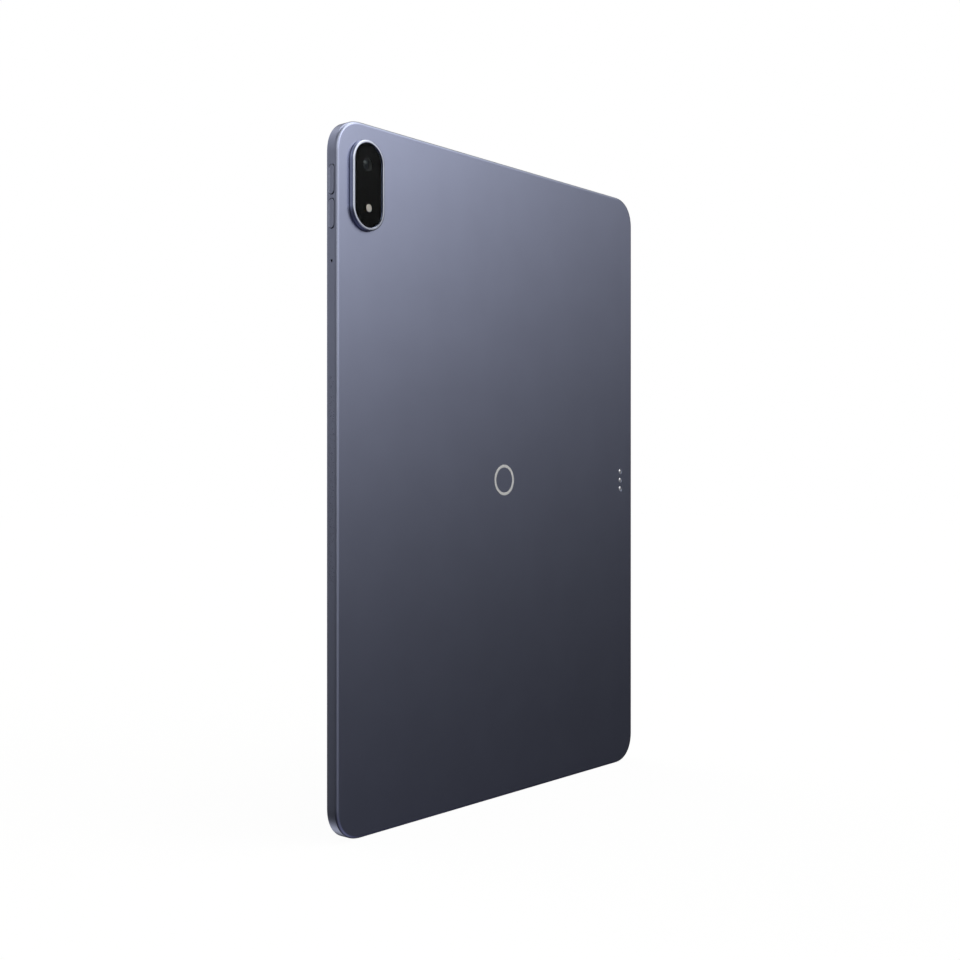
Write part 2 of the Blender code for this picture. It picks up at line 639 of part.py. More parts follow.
# ---------------------------------------------------------------- inner pieces
def make_main_board():
    board = box("main_board", "circuit_board", (-BOARD_X, BOARD_X), BOARD_DEPTHS, BOARD_Z)
    holes = []
    for x in BOSS_XS:
        outline = placed(round_outline(2.0, 12), x, BOSS_Z)
        holes.append(prism(outline, depth(BOARD_DEPTHS[0] - 0.5), depth(BOARD_DEPTHS[1] + 0.5), "Y"))
    cut(board, combined(holes))
    chip = (2.95, BOARD_DEPTHS[0] - FINE_GAP)
    box("processor", "chip_resin", (-30.0, -15.0), chip, (232.0, 247.0))
    box("storage_chip", "chip_resin", (-8.0, 4.0), chip, (234.0, 247.0))
    box("power_chip", "chip_resin", (20.0, 27.0), chip, (236.0, 243.0))
    box("radio_module", "shield_steel", (36.0, 50.0), chip, (238.0, 254.0))
    shield = box("processor_shield", "shield_steel", (-36.0, 10.0),
                 (LAYER_FRONT, BOARD_DEPTHS[0] - FINE_GAP), (228.0, 252.0))
    hollow = placed(box_outline(45.4, 23.4), -13.0, 240.0)
    cut(shield, prism(hollow, depth(LAYER_FRONT + 0.20), depth(BOARD_DEPTHS[0] + 0.5), "Y"))
    for name, x in zip(("board_screw_left", "board_screw_right"), BOSS_XS):
        head = [(round_outline(3.2, 12), 3.30), (round_outline(3.2, 12), 3.75),
                (round_outline(1.2, 12), 3.75), (round_outline(1.2, 12), 5.40)]
        rings = [(placed(outline, x, BOSS_Z), depth(level)) for outline, level in head]
        add_object(name, loft(rings, "Y"), "shield_steel", smooth=True)


def make_battery():
    for name, side in (("battery_cell_left", -1), ("battery_cell_right", 1)):
        x = sorted((side * CELL_X[0], side * CELL_X[1]))
        box(name, "battery_foil", x, (LAYER_FRONT, LAYER_BACK), CELL_Z)
    box("battery_board", "circuit_board", (-34.0, 34.0), (3.2, 4.1), (217.0, 221.5))
    box("sub_board_flex", "flex_film", (-3.2, 3.2), (4.45, 4.60), (31.0, 216.0))


def make_sub_board():
    box("sub_board", "circuit_board", (-24.0, 24.0), (4.0, 4.7), (7.8, 30.5))


def make_speakers():
    """Four closed speaker boxes, each behind its own row of holes."""
    reach = {("bottom", -1): (27.0, 98.0), ("bottom", 1): (27.0, 98.0),
             ("top", -1): (18.0, 98.0), ("top", 1): (18.0, 66.5)}
    for (place, side), (near, far) in reach.items():
        upwards = 1 if place == "bottom" else -1
        edge = SPEAKER_EDGE if upwards == 1 else HEIGHT - SPEAKER_EDGE
        inner = edge + upwards * (SPEAKER_DEEP if upwards == 1 else SPEAKER_DEEP - 6.0)
        bevel = SPEAKER_BEVEL if far > 90.0 else 1.0
        outline = [(near, edge), (far - bevel, edge), (far, edge + upwards * bevel),
                   (far, inner), (near, inner)]
        outline = [(side * x, z) for x, z in outline]
        name = f"speaker_{place}_{'left' if side < 0 else 'right'}"
        add_object(name, prism(outline, *map(depth, SPEAKER_DEPTHS), "Y"), "black_plastic")


def make_antennas():
    for name, side in (("antenna_left", -1), ("antenna_right", 1)):
        x = sorted((side * 99.6, side * 102.0))
        box(name, "flex_film", x, (2.7, 3.1), (188.0, 216.0))


# ---------------------------------------------------------------- build
for old in list(bpy.data.objects):
    bpy.data.objects.remove(old, do_unlink=True)

MATERIALS = {name: make_material(name, *values) for name, values in FINISHES.items()}
ASSEMBLY = bpy.data.objects.new("tablet_assembly", None)
bpy.context.scene.collection.objects.link(ASSEMBLY)

make_housing()
make_display()
make_display_flex()
make_camera_ring()
make_camera_window()
make_rear_camera()
make_volume_buttons()
make_power_button()
make_stylus_parts()
make_sensors()
make_socket()
make_keyboard_contacts()
make_main_board()
make_battery()
make_sub_board()
make_speakers()
make_antennas()
bpy.context.view_layer.update()
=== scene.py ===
import json
import math

import bmesh
import bpy
import numpy as np
from bpy.props import FloatProperty, FloatVectorProperty, IntProperty, PointerProperty
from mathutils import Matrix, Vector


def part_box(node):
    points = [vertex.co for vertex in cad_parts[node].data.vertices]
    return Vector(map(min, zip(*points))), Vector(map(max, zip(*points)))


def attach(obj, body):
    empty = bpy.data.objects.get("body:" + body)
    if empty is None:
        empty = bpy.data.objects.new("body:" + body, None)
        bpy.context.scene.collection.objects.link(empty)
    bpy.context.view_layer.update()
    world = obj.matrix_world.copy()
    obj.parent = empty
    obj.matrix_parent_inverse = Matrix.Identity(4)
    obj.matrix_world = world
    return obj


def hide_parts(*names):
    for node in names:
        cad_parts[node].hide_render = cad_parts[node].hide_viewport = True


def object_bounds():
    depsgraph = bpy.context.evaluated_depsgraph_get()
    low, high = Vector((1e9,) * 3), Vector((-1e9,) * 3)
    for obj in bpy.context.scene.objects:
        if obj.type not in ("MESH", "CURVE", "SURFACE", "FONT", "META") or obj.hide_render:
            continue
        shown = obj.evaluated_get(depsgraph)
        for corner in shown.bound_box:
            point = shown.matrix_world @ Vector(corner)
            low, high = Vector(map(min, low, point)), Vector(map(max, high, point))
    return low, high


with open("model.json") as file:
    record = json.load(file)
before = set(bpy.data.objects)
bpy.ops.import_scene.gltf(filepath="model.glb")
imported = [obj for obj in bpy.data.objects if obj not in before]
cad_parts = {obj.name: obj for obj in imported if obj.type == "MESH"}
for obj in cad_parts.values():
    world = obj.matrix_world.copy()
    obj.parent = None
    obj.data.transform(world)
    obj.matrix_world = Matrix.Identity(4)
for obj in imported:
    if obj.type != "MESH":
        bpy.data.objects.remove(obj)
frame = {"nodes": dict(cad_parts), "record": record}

bl_info = {
    "name": "Tablet Computer",
    "version": (1, 0, 0),
    "blender": (4, 5, 0),
    "location": "3D View > Sidebar > Tablet",
    "description": "Builds a slim metal tablet computer round its packed frame",
    "category": "Add Mesh",
}

MM = 0.001
CAD_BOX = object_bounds()

# The loaded frame's own places, in metres. The screen faces -Y and the back faces +Y.
BODY_LOW, BODY_HIGH = np.array(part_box("rear_housing"))
GLASS_LOW, GLASS_HIGH = np.array(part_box("cover_glass"))
FRONT_FACE = GLASS_LOW[1]                 # outer face of the screen glass
BACK_FACE = BODY_HIGH[1]
HALF_WIDTH = BODY_HIGH[0]
HALF_HEIGHT = BODY_HIGH[2]

# Construction values that follow the frame's pieces
POCKET_INSET = 0.90 * MM                  # pocket in the shell that holds the glass
POCKET_DEPTH = 1.15 * MM
WALL = 2.00 * MM                          # side walls
FLOOR_DEPTH = 5.12 * MM                   # inner face of the back wall
COLLAR_INSET = 0.90 * MM                  # island's collar inside its outline
COLLAR_GAP = 0.15 * MM
SEAT_DEPTH = 0.25 * MM                    # seat of the island in the back face
LEDGE_INSET = 2.10 * MM
LEDGE_HEIGHT = 0.91 * MM
STEP_HEIGHT = 0.80 * MM                   # small step in the island's wall
STEP_INSET = 0.20 * MM
HOLE_GAP = 0.15 * MM
INSERT_GAP = 0.04 * MM                    # seam round the stylus insert
OVERSHOOT = 0.5 * MM                      # how far a cutter stands out of the metal
GRILLE_HOLES = 10
GRILLE_PITCH = 2.4 * MM
GRILLE_CENTRE = 53.0 * MM
GRILLE_RADIUS = 0.65 * MM
MIC_RADIUS = 0.55 * MM
CONTACT_DOME = 0.18 * MM                  # how far a contact's face falls to its edge
FLASH_CLEAR = 1.55 * MM                   # clear part of the flash cover, inside its ink
VOLUME_SLOT = (3.1 * MM, 12.3 * MM)       # across and along the side
POWER_SLOT = (14.6 * MM, 3.1 * MM)        # along and across the top
CAP_WIDTH = 2.5 * MM
FLANGE_EXTRA = (0.9 * MM, 1.6 * MM)       # flange wider and longer than its cap
FLANGE_GAP = 0.3 * MM                     # flange behind the inner face of the wall
FLANGE_THICK = 0.5 * MM
NIB_SIZE = (1.2 * MM, 2.6 * MM)
NIB_LENGTH = 0.3 * MM
ISLAND_FOOT = 0.10 * MM                   # island's foot below the back face
BOSS_FACE = 4.80 * MM                     # screw bosses, counted from the screen side
BOSS_BORE = 5.55 * MM
BOSS_RADIUS = 2.0 * MM
THREAD_RADIUS = 0.8 * MM
SHOULDER_DEPTH = 4.95 * MM                # camera module's shoulder and bore
BARREL_FLOOR = 3.3 * MM
TOWER_RADIUS = 4.7 * MM
BARREL_RADIUS = 3.5 * MM
GAUZE_DEPTH = 1.4 * MM                    # microphone gauzes behind their faces
GAUZE_THICK = 0.06 * MM
SMOOTH_ANGLE = math.radians(32.0)


# ------------------------------------------------------------------ settings
def length(name, description, millimetres):
    return FloatProperty(name=name, description=description, default=millimetres * MM,
                         min=0.0, precision=5, unit="LENGTH")


def colour(name, description, value):
    return FloatVectorProperty(name=name, description=description, default=value,
                               size=3, min=0.0, max=1.0, subtype="COLOR")


def share(name, description, value):
    return FloatProperty(name=name, description=description, default=value,
                         min=0.0, max=1.0, subtype="FACTOR")


class ShellSettings(bpy.types.PropertyGroup):
    """Metal rear shell."""
    corner_reach: length("Corner reach", "How far a corner's curve runs along a side", 14.3)
    corner_power: FloatProperty(name="Corner power", default=2.3, min=2.0, max=6.0,
                                description="Superellipse exponent of the corners")
    corner_steps: IntProperty(name="Corner steps", default=40, min=8, max=96,
                              description="Faces along each corner")
    back_round: length("Back edge", "Radius between the side and the back", 1.35)
    front_round: length("Front edge", "Radius between the side and the lip", 0.18)
    metal: colour("Metal", "Anodised colour of the shell", (0.33, 0.356, 0.488))
    roughness: share("Roughness", "Satin finish of the shell", 0.32)


class IslandSettings(bpy.types.PropertyGroup):
    """Camera island, its lens and its flash."""
    rim_width: length("Rim width", "Flat metal rim round the window", 1.25)
    edge: length("Edge", "Polished edge round the rim", 0.38)
    rim_colour: colour("Rim", "Polished metal of the rim", (0.50, 0.53, 0.63))
    lens_opening: length("Lens opening", "Diameter of the clear circle in the print", 5.6)
    flash_warmth: colour("Emitter", "Phosphor over the flash emitters", (0.93, 0.66, 0.20))


class ButtonSettings(bpy.types.PropertyGroup):
    """Volume and power buttons."""
    proud: length("Proud", "Height of a cap above the side wall", 0.20)
    edge: length("Edge", "Rounding of a cap's edge", 0.16)


class ScreenSettings(bpy.types.PropertyGroup):
    """Screen glass, its printed border and the display."""
    border: length("Border", "Black border round the picture area", 8.0)
    picture_corner: length("Picture corner", "Corner radius of the picture area", 5.0)
    panel: colour("Panel", "Switched-off display", (0.012, 0.013, 0.017))


class EmblemSettings(bpy.types.PropertyGroup):
    """Plain polished ring in the middle of the back."""
    diameter: length("Diameter", "Outer diameter of the ring", 14.0)
    band: length("Band", "Width of the ring's band", 1.25)
    proud: length("Proud", "Height above the back", 0.02)


class StudioSettings(bpy.types.PropertyGroup):
    """Floor and camera."""
    floor_size: length("Floor size", "Side of the square floor", 8000.0)
    floor_colour: colour("Floor", "Plain pale floor", (0.95, 0.95, 0.95))
    floor_glow: share("Floor glow", "Part of the floor's brightness that is its own", 0.95)
    focal_length: FloatProperty(name="Focal length", default=48.18, min=10.0, max=300.0,
                                unit="CAMERA", description="Lens of the camera, in mm")
    azimuth: FloatProperty(name="Azimuth", default=math.radians(130.37), subtype="ANGLE",
                           description="Where the camera stands; 0 looks at the screen")
    distance: length("Distance", "From the camera to its aim point", 590.7)
    aim_x: FloatProperty(name="Aim X", default=5.8 * MM, precision=5, unit="LENGTH",
                         description="Aim point from the middle of the back, along X")
    aim_y: FloatProperty(name="Aim Y", default=-9.7 * MM, precision=5, unit="LENGTH",
                         description="Aim point from the middle of the back, along Y")


# ------------------------------------------------------------------ loops and surfaces
def slab_loop(inset, settings):
    """Outline of the body, moved in by `inset`, as (n, 2) points (x, z).

    Each corner is a quarter of a superellipse: with a turn t from 0 to a right angle,
    x = reach * cos(t) ** (2 / power) and z = reach * sin(t) ** (2 / power).
    """
    turn = np.linspace(0.0, math.pi / 2, settings.corner_steps + 1)
    reach = settings.corner_reach - inset
    across = reach * np.clip(np.cos(turn), 0.0, 1.0) ** (2.0 / settings.corner_power)
    along = reach * np.sin(turn) ** (2.0 / settings.corner_power)
    right = HALF_WIDTH - settings.corner_reach + across
    upper = HALF_HEIGHT - settings.corner_reach + along
    quarter = np.column_stack([right, upper])
    flipped = quarter[::-1]
    return np.concatenate([quarter, flipped * [-1, 1], quarter * [-1, -1], flipped * [1, -1]])


def pill_loop(long_u, long_v, inset=0.0, steps=24):
    """Straight slot with half-circle ends, centred, moved in by `inset`, as (2 steps + 2, 2).

    The half circle has radius r = short side / 2 - inset, and each end stands off the
    middle by half of the difference of the two sides.
    """
    radius = min(long_u, long_v) / 2 - inset
    run = abs(long_v - long_u) / 2
    turn = np.linspace(0.0, math.pi, steps + 1)
    end = np.column_stack([radius * np.cos(turn), run + radius * np.sin(turn)])
    loop = np.concatenate([end, -end])
    return loop if long_v >= long_u else np.column_stack([loop[:, 1], -loop[:, 0]])


def round_loop(radius, steps=48):
    """Circle: u = r cos t, v = r sin t."""
    turn = np.arange(steps) * (2 * math.pi / steps)
    return radius * np.column_stack([np.cos(turn), np.sin(turn)])


def box_loop(size_u, size_v, corner, steps=6):
    """Rectangle with round corners: four quarter circles of radius `corner`."""
    turn = np.linspace(0.0, math.pi / 2, steps + 1)
    u = size_u / 2 - corner + corner * np.cos(turn)
    v = size_v / 2 - corner + corner * np.sin(turn)
    quarter = np.column_stack([u, v])
    flipped = quarter[::-1]
    return np.concatenate([quarter, flipped * [-1, 1], quarter * [-1, -1], flipped * [1, -1]])


PLANES = {"back": (0, 2, 1), "side": (1, 2, 0), "end": (0, 1, 2)}


def lifted(loops, levels, plane, centre=(0.0, 0.0)):
    """Rings in space: each flat loop moved to `centre` and raised to its level.

    `plane` says which axes the loop's two values and the level stand for.
    """
    loops = np.asarray(loops) + np.asarray(centre)
    rings = np.empty((*loops.shape[:2], 3))
    u, v, w = PLANES[plane]
    rings[..., u] = loops[..., 0]
    rings[..., v] = loops[..., 1]
    rings[..., w] = np.asarray(levels)[:, None]
    return rings


def skin(rings, closed=False):
    """Solid through rings of equal count: a quad between each two points of neighbours.

    The first and last rings are filled, or joined to each other if `closed`. Returns
    (points, faces).
    """
    count, size = rings.shape[:2]
    index = np.arange(count * size).reshape(count, size)
    first = index if closed else index[:-1]
    second = np.roll(index, -1, axis=0) if closed else index[1:]
    quads = np.stack([first, np.roll(first, -1, 1), np.roll(second, -1, 1), second], -1)
    faces = quads.reshape(-1, 4).tolist()
    if not closed:
        faces += [index[0].tolist(), index[-1].tolist()]
    return rings.reshape(-1, 3), faces


def swept(profile, outline, plane, centre=(0.0, 0.0), closed=False):
    """Solid with the loop `outline(inset)` at each (inset, level) of `profile`."""
    loops = [outline(inset) for inset, level in profile]
    return skin(lifted(loops, [level for inset, level in profile], plane, centre), closed)


def raised(profile, base, unit=1.0):
    """A profile given in `unit`, with its levels counted from `base`."""
    return [(inset * unit, base + level * unit) for inset, level in profile]


def together(solids):
    """Several (points, faces) solids as one."""
    points, faces, offset = [], [], 0
    for part_points, part_faces in solids:
        points.append(part_points)
        faces += [[index + offset for index in face] for face in part_faces]
        offset += len(part_points)
    return np.concatenate(points), faces


def turned(profile, plane, centre, steps=48):
    """Solid of revolution: circles of radius r at level w for each (r, w) of `profile`."""
    return swept(profile, lambda radius: round_loop(radius, steps), plane, centre)


def mesh_of(solid):
    """Mesh of a solid with its double points merged and its faces turned outwards."""
    points, faces = solid
    mesh = bpy.data.meshes.new("solid")
    mesh.from_pydata(points.tolist(), [], faces)
    work = bmesh.new()
    work.from_mesh(mesh)
    bmesh.ops.remove_doubles(work, verts=work.verts, dist=1e-7)
    bmesh.ops.recalc_face_normals(work, faces=work.faces)
    work.to_mesh(mesh)
    work.free()
    return mesh


def carved(mesh, solid, operation="DIFFERENCE"):
    """The mesh after a Boolean with another solid, as a new mesh."""
    body = bpy.data.objects.new("carving_body", mesh)
    tool = bpy.data.objects.new("carving_tool", mesh_of(solid))
    bpy.context.scene.collection.objects.link(body)
    bpy.context.scene.collection.objects.link(tool)
    step = body.modifiers.new("carve", "BOOLEAN")
    step.operation = operation
    step.solver = "EXACT"
    step.object = tool
    graph = bpy.context.evaluated_depsgraph_get()
    result = bpy.data.meshes.new_from_object(body.evaluated_get(graph), depsgraph=graph)
    for spent in (body, tool):
        data = spent.data
        bpy.data.objects.remove(spent)
        bpy.data.meshes.remove(data)
    if not result.polygons:
        raise RuntimeError("a carving step left nothing of its body")
    return result


def piece(name, mesh, body, materials, replaces=()):
    """Links a finished mesh as a piece that rides on a body of the frame."""
    mesh.name = name
    materials = materials if isinstance(materials, (list, tuple)) else [materials]
    mesh.materials.clear()
    for material in materials:
        mesh.materials.append(material)
    mesh.shade_smooth()
    mesh.set_sharp_from_angle(angle=SMOOTH_ANGLE)
    made = bpy.data.objects.new(name, mesh)
    bpy.context.scene.collection.objects.link(made)
    weighted = made.modifiers.new("Weighted normals", "WEIGHTED_NORMAL")
    weighted.keep_sharp = True
    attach(made, body)
    if replaces:
        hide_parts(*replaces)
    return made


def quarter_round(radius, steps):
    """(inset, drop) pairs of a quarter circle from a wall, over an edge, to a flat top."""
    turn = np.linspace(0.0, math.pi / 2, steps + 1)
    return np.column_stack([radius * (1 - np.cos(turn)), radius * (1 - np.sin(turn))])


def on_plane(plane, values):
    """The two of three values that lie in a plane: of a point its place, of a size its sides."""
    u, v, w = PLANES[plane]
    return values[u], values[v]


def centre_of(node_name):
    return np.mean(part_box(node_name), axis=0)


def size_of(node_name):
    low, high = np.array(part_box(node_name))
    return high - low


# ------------------------------------------------------------------ materials
def node(tree, kind, sockets=None, **settings):
    """Adds a node. `sockets` maps inputs to a value or to another node's output."""
    made = tree.nodes.new(kind)
    for key, value in settings.items():
        setattr(made, key, value)
    for key, value in (sockets or {}).items():
        if isinstance(value, bpy.types.NodeSocket):
            tree.links.new(value, made.inputs[key])
        else:
            made.inputs[key].default_value = value
    return made


def surface(name, sockets):
    """New material with constants set on its Principled shader. Returns it with its tree,
    its shader and its Object coordinates."""
    material = bpy.data.materials.new(name)
    material.use_nodes = True
    tree = material.node_tree
    shader = tree.nodes["Principled BSDF"]
    for key, value in sockets.items():
        shader.inputs[key].default_value = value
    place = node(tree, "ShaderNodeTexCoord").outputs["Object"]
    return material, tree, shader, place


def noise(tree, place, scale, detail=2.0, stretch=(1.0, 1.0, 1.0)):
    """Noise of about `scale` grains a metre, optionally stretched along an axis."""
    if stretch != (1.0, 1.0, 1.0):
        place = node(tree, "ShaderNodeMapping", {"Vector": place, "Scale": stretch}).outputs[0]
    made = node(tree, "ShaderNodeTexNoise", {"Vector": place, "Scale": scale, "Detail": detail})
    return made.outputs["Fac"]


def spread(tree, factor, low, high, from_low=0.3, from_high=0.7):
    """Factor carried into the range `low` to `high`."""
    made = node(tree, "ShaderNodeMapRange", {"Value": factor, "From Min": from_low,
                "From Max": from_high, "To Min": low, "To Max": high})
    return made.outputs[0]


def blend(tree, factor, first, second):
    """Colour between two colours."""
    made = node(tree, "ShaderNodeMix", {0: factor, 6: first, 7: second}, data_type="RGBA")
    return made.outputs[2]


def relief(tree, shader, height, depth, strength=1.0):
    """Bump of a real depth, in metres."""
    made = node(tree, "ShaderNodeBump", {"Height": height, "Distance": depth,
                                         "Strength": strength})
    tree.links.new(made.outputs[0], shader.inputs["Normal"])


def shade(value, factor):
    return (*(min(1.0, part * factor) for part in value), 1.0)


def socket_names(constants):
    """Shader sockets for keyword names: coat_weight stands for Coat Weight."""
    return {key.replace("_", " ").title().replace("Ior", "IOR"): part
            for key, part in constants.items()}


def grained(name, value, roughness, grain, depth, vary=0.06, rough_vary=0.05, broad=40.0,
            stretch=(1.0, 1.0, 1.0), **constants):
    """Finish with a fine grain of `grain` a metre in its relief, and a broad, faint drift
    in its colour and roughness."""
    sockets = socket_names(constants)
    material, tree, shader, place = surface(name, sockets)
    fine = noise(tree, place, grain, 3.0, stretch)
    wide = noise(tree, place, broad, 2.0)
    mixed = node(tree, "ShaderNodeMath", {0: fine, 1: wide}, operation="ADD").outputs[0]
    drift = spread(tree, mixed, 0.0, 1.0, 0.7, 1.3)
    dark, light = shade(value, 1 - vary), shade(value, 1 + vary)
    tree.links.new(blend(tree, drift, dark, light), shader.inputs["Base Color"])
    rough = spread(tree, fine, roughness - rough_vary, roughness + rough_vary)
    tree.links.new(rough, shader.inputs["Roughness"])
    relief(tree, shader, fine, depth)
    return material


def rings_about(tree, place, centre, plane, pitch):
    """Turning marks: a wave of the distance from an axis, `pitch` metres apart."""
    axis = PLANES[plane][2]
    scale = [1.0, 1.0, 1.0]
    scale[axis] = 0.0
    shift = [-part for part in centre]
    shift[axis] = 0.0
    moved = node(tree, "ShaderNodeMapping", {"Vector": place, "Location": shift,
                                             "Scale": scale}).outputs[0]
    radius = node(tree, "ShaderNodeVectorMath", {0: moved}, operation="LENGTH").outputs[1]
    turns = node(tree, "ShaderNodeMath", {0: radius, 1: 2 * math.pi / pitch},
                 operation="MULTIPLY").outputs[0]
    return node(tree, "ShaderNodeMath", {0: turns}, operation="SINE").outputs[0]


def lathed(name, value, roughness, centre, plane, pitch, depth, **constants):
    """Metal or plastic with fine turning marks round an axis."""
    sockets = socket_names(constants)
    material, tree, shader, place = surface(name, sockets)
    fine = noise(tree, place, 2500.0, 2.0)
    tint = spread(tree, fine, 0.0, 1.0)
    tree.links.new(blend(tree, tint, shade(value, 0.95), shade(value, 1.05)),
                   shader.inputs["Base Color"])
    rough = spread(tree, fine, roughness * 0.85, roughness * 1.15)
    tree.links.new(rough, shader.inputs["Roughness"])
    relief(tree, shader, rings_about(tree, place, centre, plane, pitch), depth)
    return material


def striped(name, value, line, pitch, axis, roughness, depth, **constants):
    """Copper tracks under film: soft bands across `axis`, `pitch` metres apart."""
    sockets = socket_names(constants)
    material, tree, shader, place = surface(name, sockets)
    bands = node(tree, "ShaderNodeTexWave", {"Vector": place, "Scale": 0.3183 / pitch * 0.5,
                 "Distortion": 0.0}, wave_type="BANDS", bands_direction=axis).outputs["Fac"]
    edge = spread(tree, bands, 0.0, 1.0, 0.45, 0.55)
    tree.links.new(blend(tree, edge, (*value, 1.0), (*line, 1.0)), shader.inputs["Base Color"])
    fine = noise(tree, place, 3000.0)
    tree.links.new(spread(tree, fine, roughness - 0.05, roughness + 0.05),
                   shader.inputs["Roughness"])
    relief(tree, shader, edge, depth)
    return material


def clear(name, tint, roughness, level, **constants):
    """Clear glass, with a faint uneven polish."""
    sockets = {"Transmission Weight": 1.0, "IOR": 1.5, "Specular IOR Level": level}
    sockets.update(constants)
    material, tree, shader, place = surface(name, sockets)
    wide = noise(tree, place, 25.0, 4.0)
    tree.links.new(blend(tree, spread(tree, wide, 0.0, 1.0), shade(tint, 0.98), shade(tint, 1.0)),
                   shader.inputs["Base Color"])
    tree.links.new(spread(tree, wide, roughness * 0.6, roughness * 1.4),
                   shader.inputs["Roughness"])
    return material


def anodised():
    """Bead-blasted, anodised aluminium of the shell, made once."""
    known = bpy.data.materials.get("anodised_shell")
    if known:
        return known
    shell = bpy.context.scene.tablet_shell
    return grained("anodised_shell", tuple(shell.metal), shell.roughness, 4200.0, 0.004 * MM,
                   vary=0.03, rough_vary=0.03, metallic=1.0)


def polished():
    """Diamond-cut metal of the island's edge, made once."""
    known = bpy.data.materials.get("polished_edge")
    if known:
        return known
    island = bpy.context.scene.tablet_island
    return grained("polished_edge", tuple(island.rim_colour), 0.24, 3000.0, 0.001 * MM,
                   vary=0.03, rough_vary=0.04, metallic=1.0)


def dark_print(name, value=(0.002, 0.002, 0.0025), roughness=0.50):
    """Black ink behind glass: its own gloss is lost in the glue, so it has none."""
    return grained(name, value, roughness, 5000.0, 0.001 * MM, vary=0.2,
                   specular_ior_level=0.0)


# ------------------------------------------------------------------ pieces
def cutter(loops, surface_level, outward, deep, plane, centre, chamfer):
    """Hole cutter with a chamfered mouth.

    `loops` gives the outline for an inset; the outline grows with height above the point
    where the chamfer starts, one for one, and then runs straight down.
    """
    up = 1.0 if outward else -1.0
    profile = [(-(chamfer + OVERSHOOT), surface_level + up * OVERSHOOT),
               (0.0, surface_level - up * chamfer), (0.0, deep)]
    return swept(profile, loops, plane, centre)


def grille_places():
    row = (np.arange(GRILLE_HOLES) - (GRILLE_HOLES - 1) / 2) * GRILLE_PITCH
    return np.concatenate([row - GRILLE_CENTRE, row + GRILLE_CENTRE])


def shell_mesh(shell):
    """Tray: the body's outline carried along a profile of insets and depths.

    From the back face the profile turns over the back edge, runs down the side, turns over
    the front edge to the lip, and goes through the glass pocket and the ledge to the floor.
    """
    depth = -FRONT_FACE
    back = quarter_round(shell.back_round, 12)
    front = quarter_round(shell.front_round, 8)
    lip = depth + BODY_LOW[1]
    nick = 0.06 * MM
    profile = [(inset, depth - drop) for inset, drop in back[::-1]]
    profile += [(inset, lip + drop) for inset, drop in front]
    profile += [(POCKET_INSET - nick, lip), (POCKET_INSET, lip + nick)]
    profile += [(POCKET_INSET, POCKET_DEPTH), (WALL, POCKET_DEPTH), (WALL, FLOOR_DEPTH)]
    return mesh_of(swept(raised(profile, FRONT_FACE), lambda inset: slab_loop(inset, shell),
                         "back"))


def side_cutters():
    """Slots and holes in the long side with the buttons."""
    deep = HALF_WIDTH - WALL - OVERSHOOT
    made = []
    for name in ("volume_up_button", "volume_down_button"):
        made.append(cutter(lambda inset: pill_loop(*VOLUME_SLOT, inset), HALF_WIDTH, True,
                           deep, "side", on_plane("side", centre_of(name)), 0.10 * MM))
    window = centre_of("stylus_window")
    slot = size_of("stylus_window")[1:] + 2 * INSERT_GAP
    made.append(cutter(lambda inset: pill_loop(*slot, inset), HALF_WIDTH, True, deep,
                       "side", window[1:], 0.02 * MM))
    hole = centre_of("side_microphone")
    made.append(cutter(lambda inset: round_loop(MIC_RADIUS - inset), HALF_WIDTH, True, deep,
                       "side", (window[1], hole[2]), 0.08 * MM))
    return together(made)


def end_cutters(upper):
    """Sound holes of one short side, with the power slot above or the socket below."""
    level = HALF_HEIGHT if upper else -HALF_HEIGHT
    inwards = -1.0 if upper else 1.0
    deep = level + inwards * (WALL + OVERSHOOT)
    middle_y = centre_of("stylus_window")[1]
    made = []
    for x in grille_places():
        made.append(cutter(lambda inset: round_loop(GRILLE_RADIUS - inset, 24), level, upper,
                           deep, "end", (x, middle_y), 0.10 * MM))
    if upper:
        power = centre_of("power_button")
        made.append(cutter(lambda inset: pill_loop(*POWER_SLOT, inset), level, upper,
                           deep, "end", power[:2], 0.10 * MM))
    else:
        socket = centre_of("socket_shell")
        slot = size_of("socket_shell")[:2] + 2 * HOLE_GAP
        made.append(cutter(lambda inset: pill_loop(*slot, inset), level, upper, deep,
                           "end", socket[:2], 0.15 * MM))
        mic = centre_of("bottom_microphone")
        made.append(cutter(lambda inset: round_loop(MIC_RADIUS - inset, 24), level, upper,
                           deep, "end", (mic[0], middle_y), 0.08 * MM))
    return together(made)


def back_cutters():
    """Collar opening, island seat and contact holes in the back."""
    width, height = on_plane("back", size_of("camera_ring"))
    grow = 2 * COLLAR_GAP
    deep = BACK_FACE - 2.0 * MM
    place = on_plane("back", centre_of("camera_ring"))
    collar = skin(lifted([pill_loop(width + grow, height + grow, COLLAR_INSET)] * 2,
                         [deep, BACK_FACE + OVERSHOOT], "back", place))
    seat = cutter(lambda inset: pill_loop(width + grow, height + grow, inset), BACK_FACE, True,
                  BACK_FACE - SEAT_DEPTH, "back", place, 0.04 * MM)
    holes = []
    for name in ("contact_upper", "contact_middle", "contact_lower"):
        radius = size_of(name)[0] / 2 + HOLE_GAP
        holes.append(cutter(lambda inset, r=radius: round_loop(r - inset), BACK_FACE, True,
                            deep, "back", on_plane("back", centre_of(name)), 0.06 * MM))
    return collar, seat, together(holes)


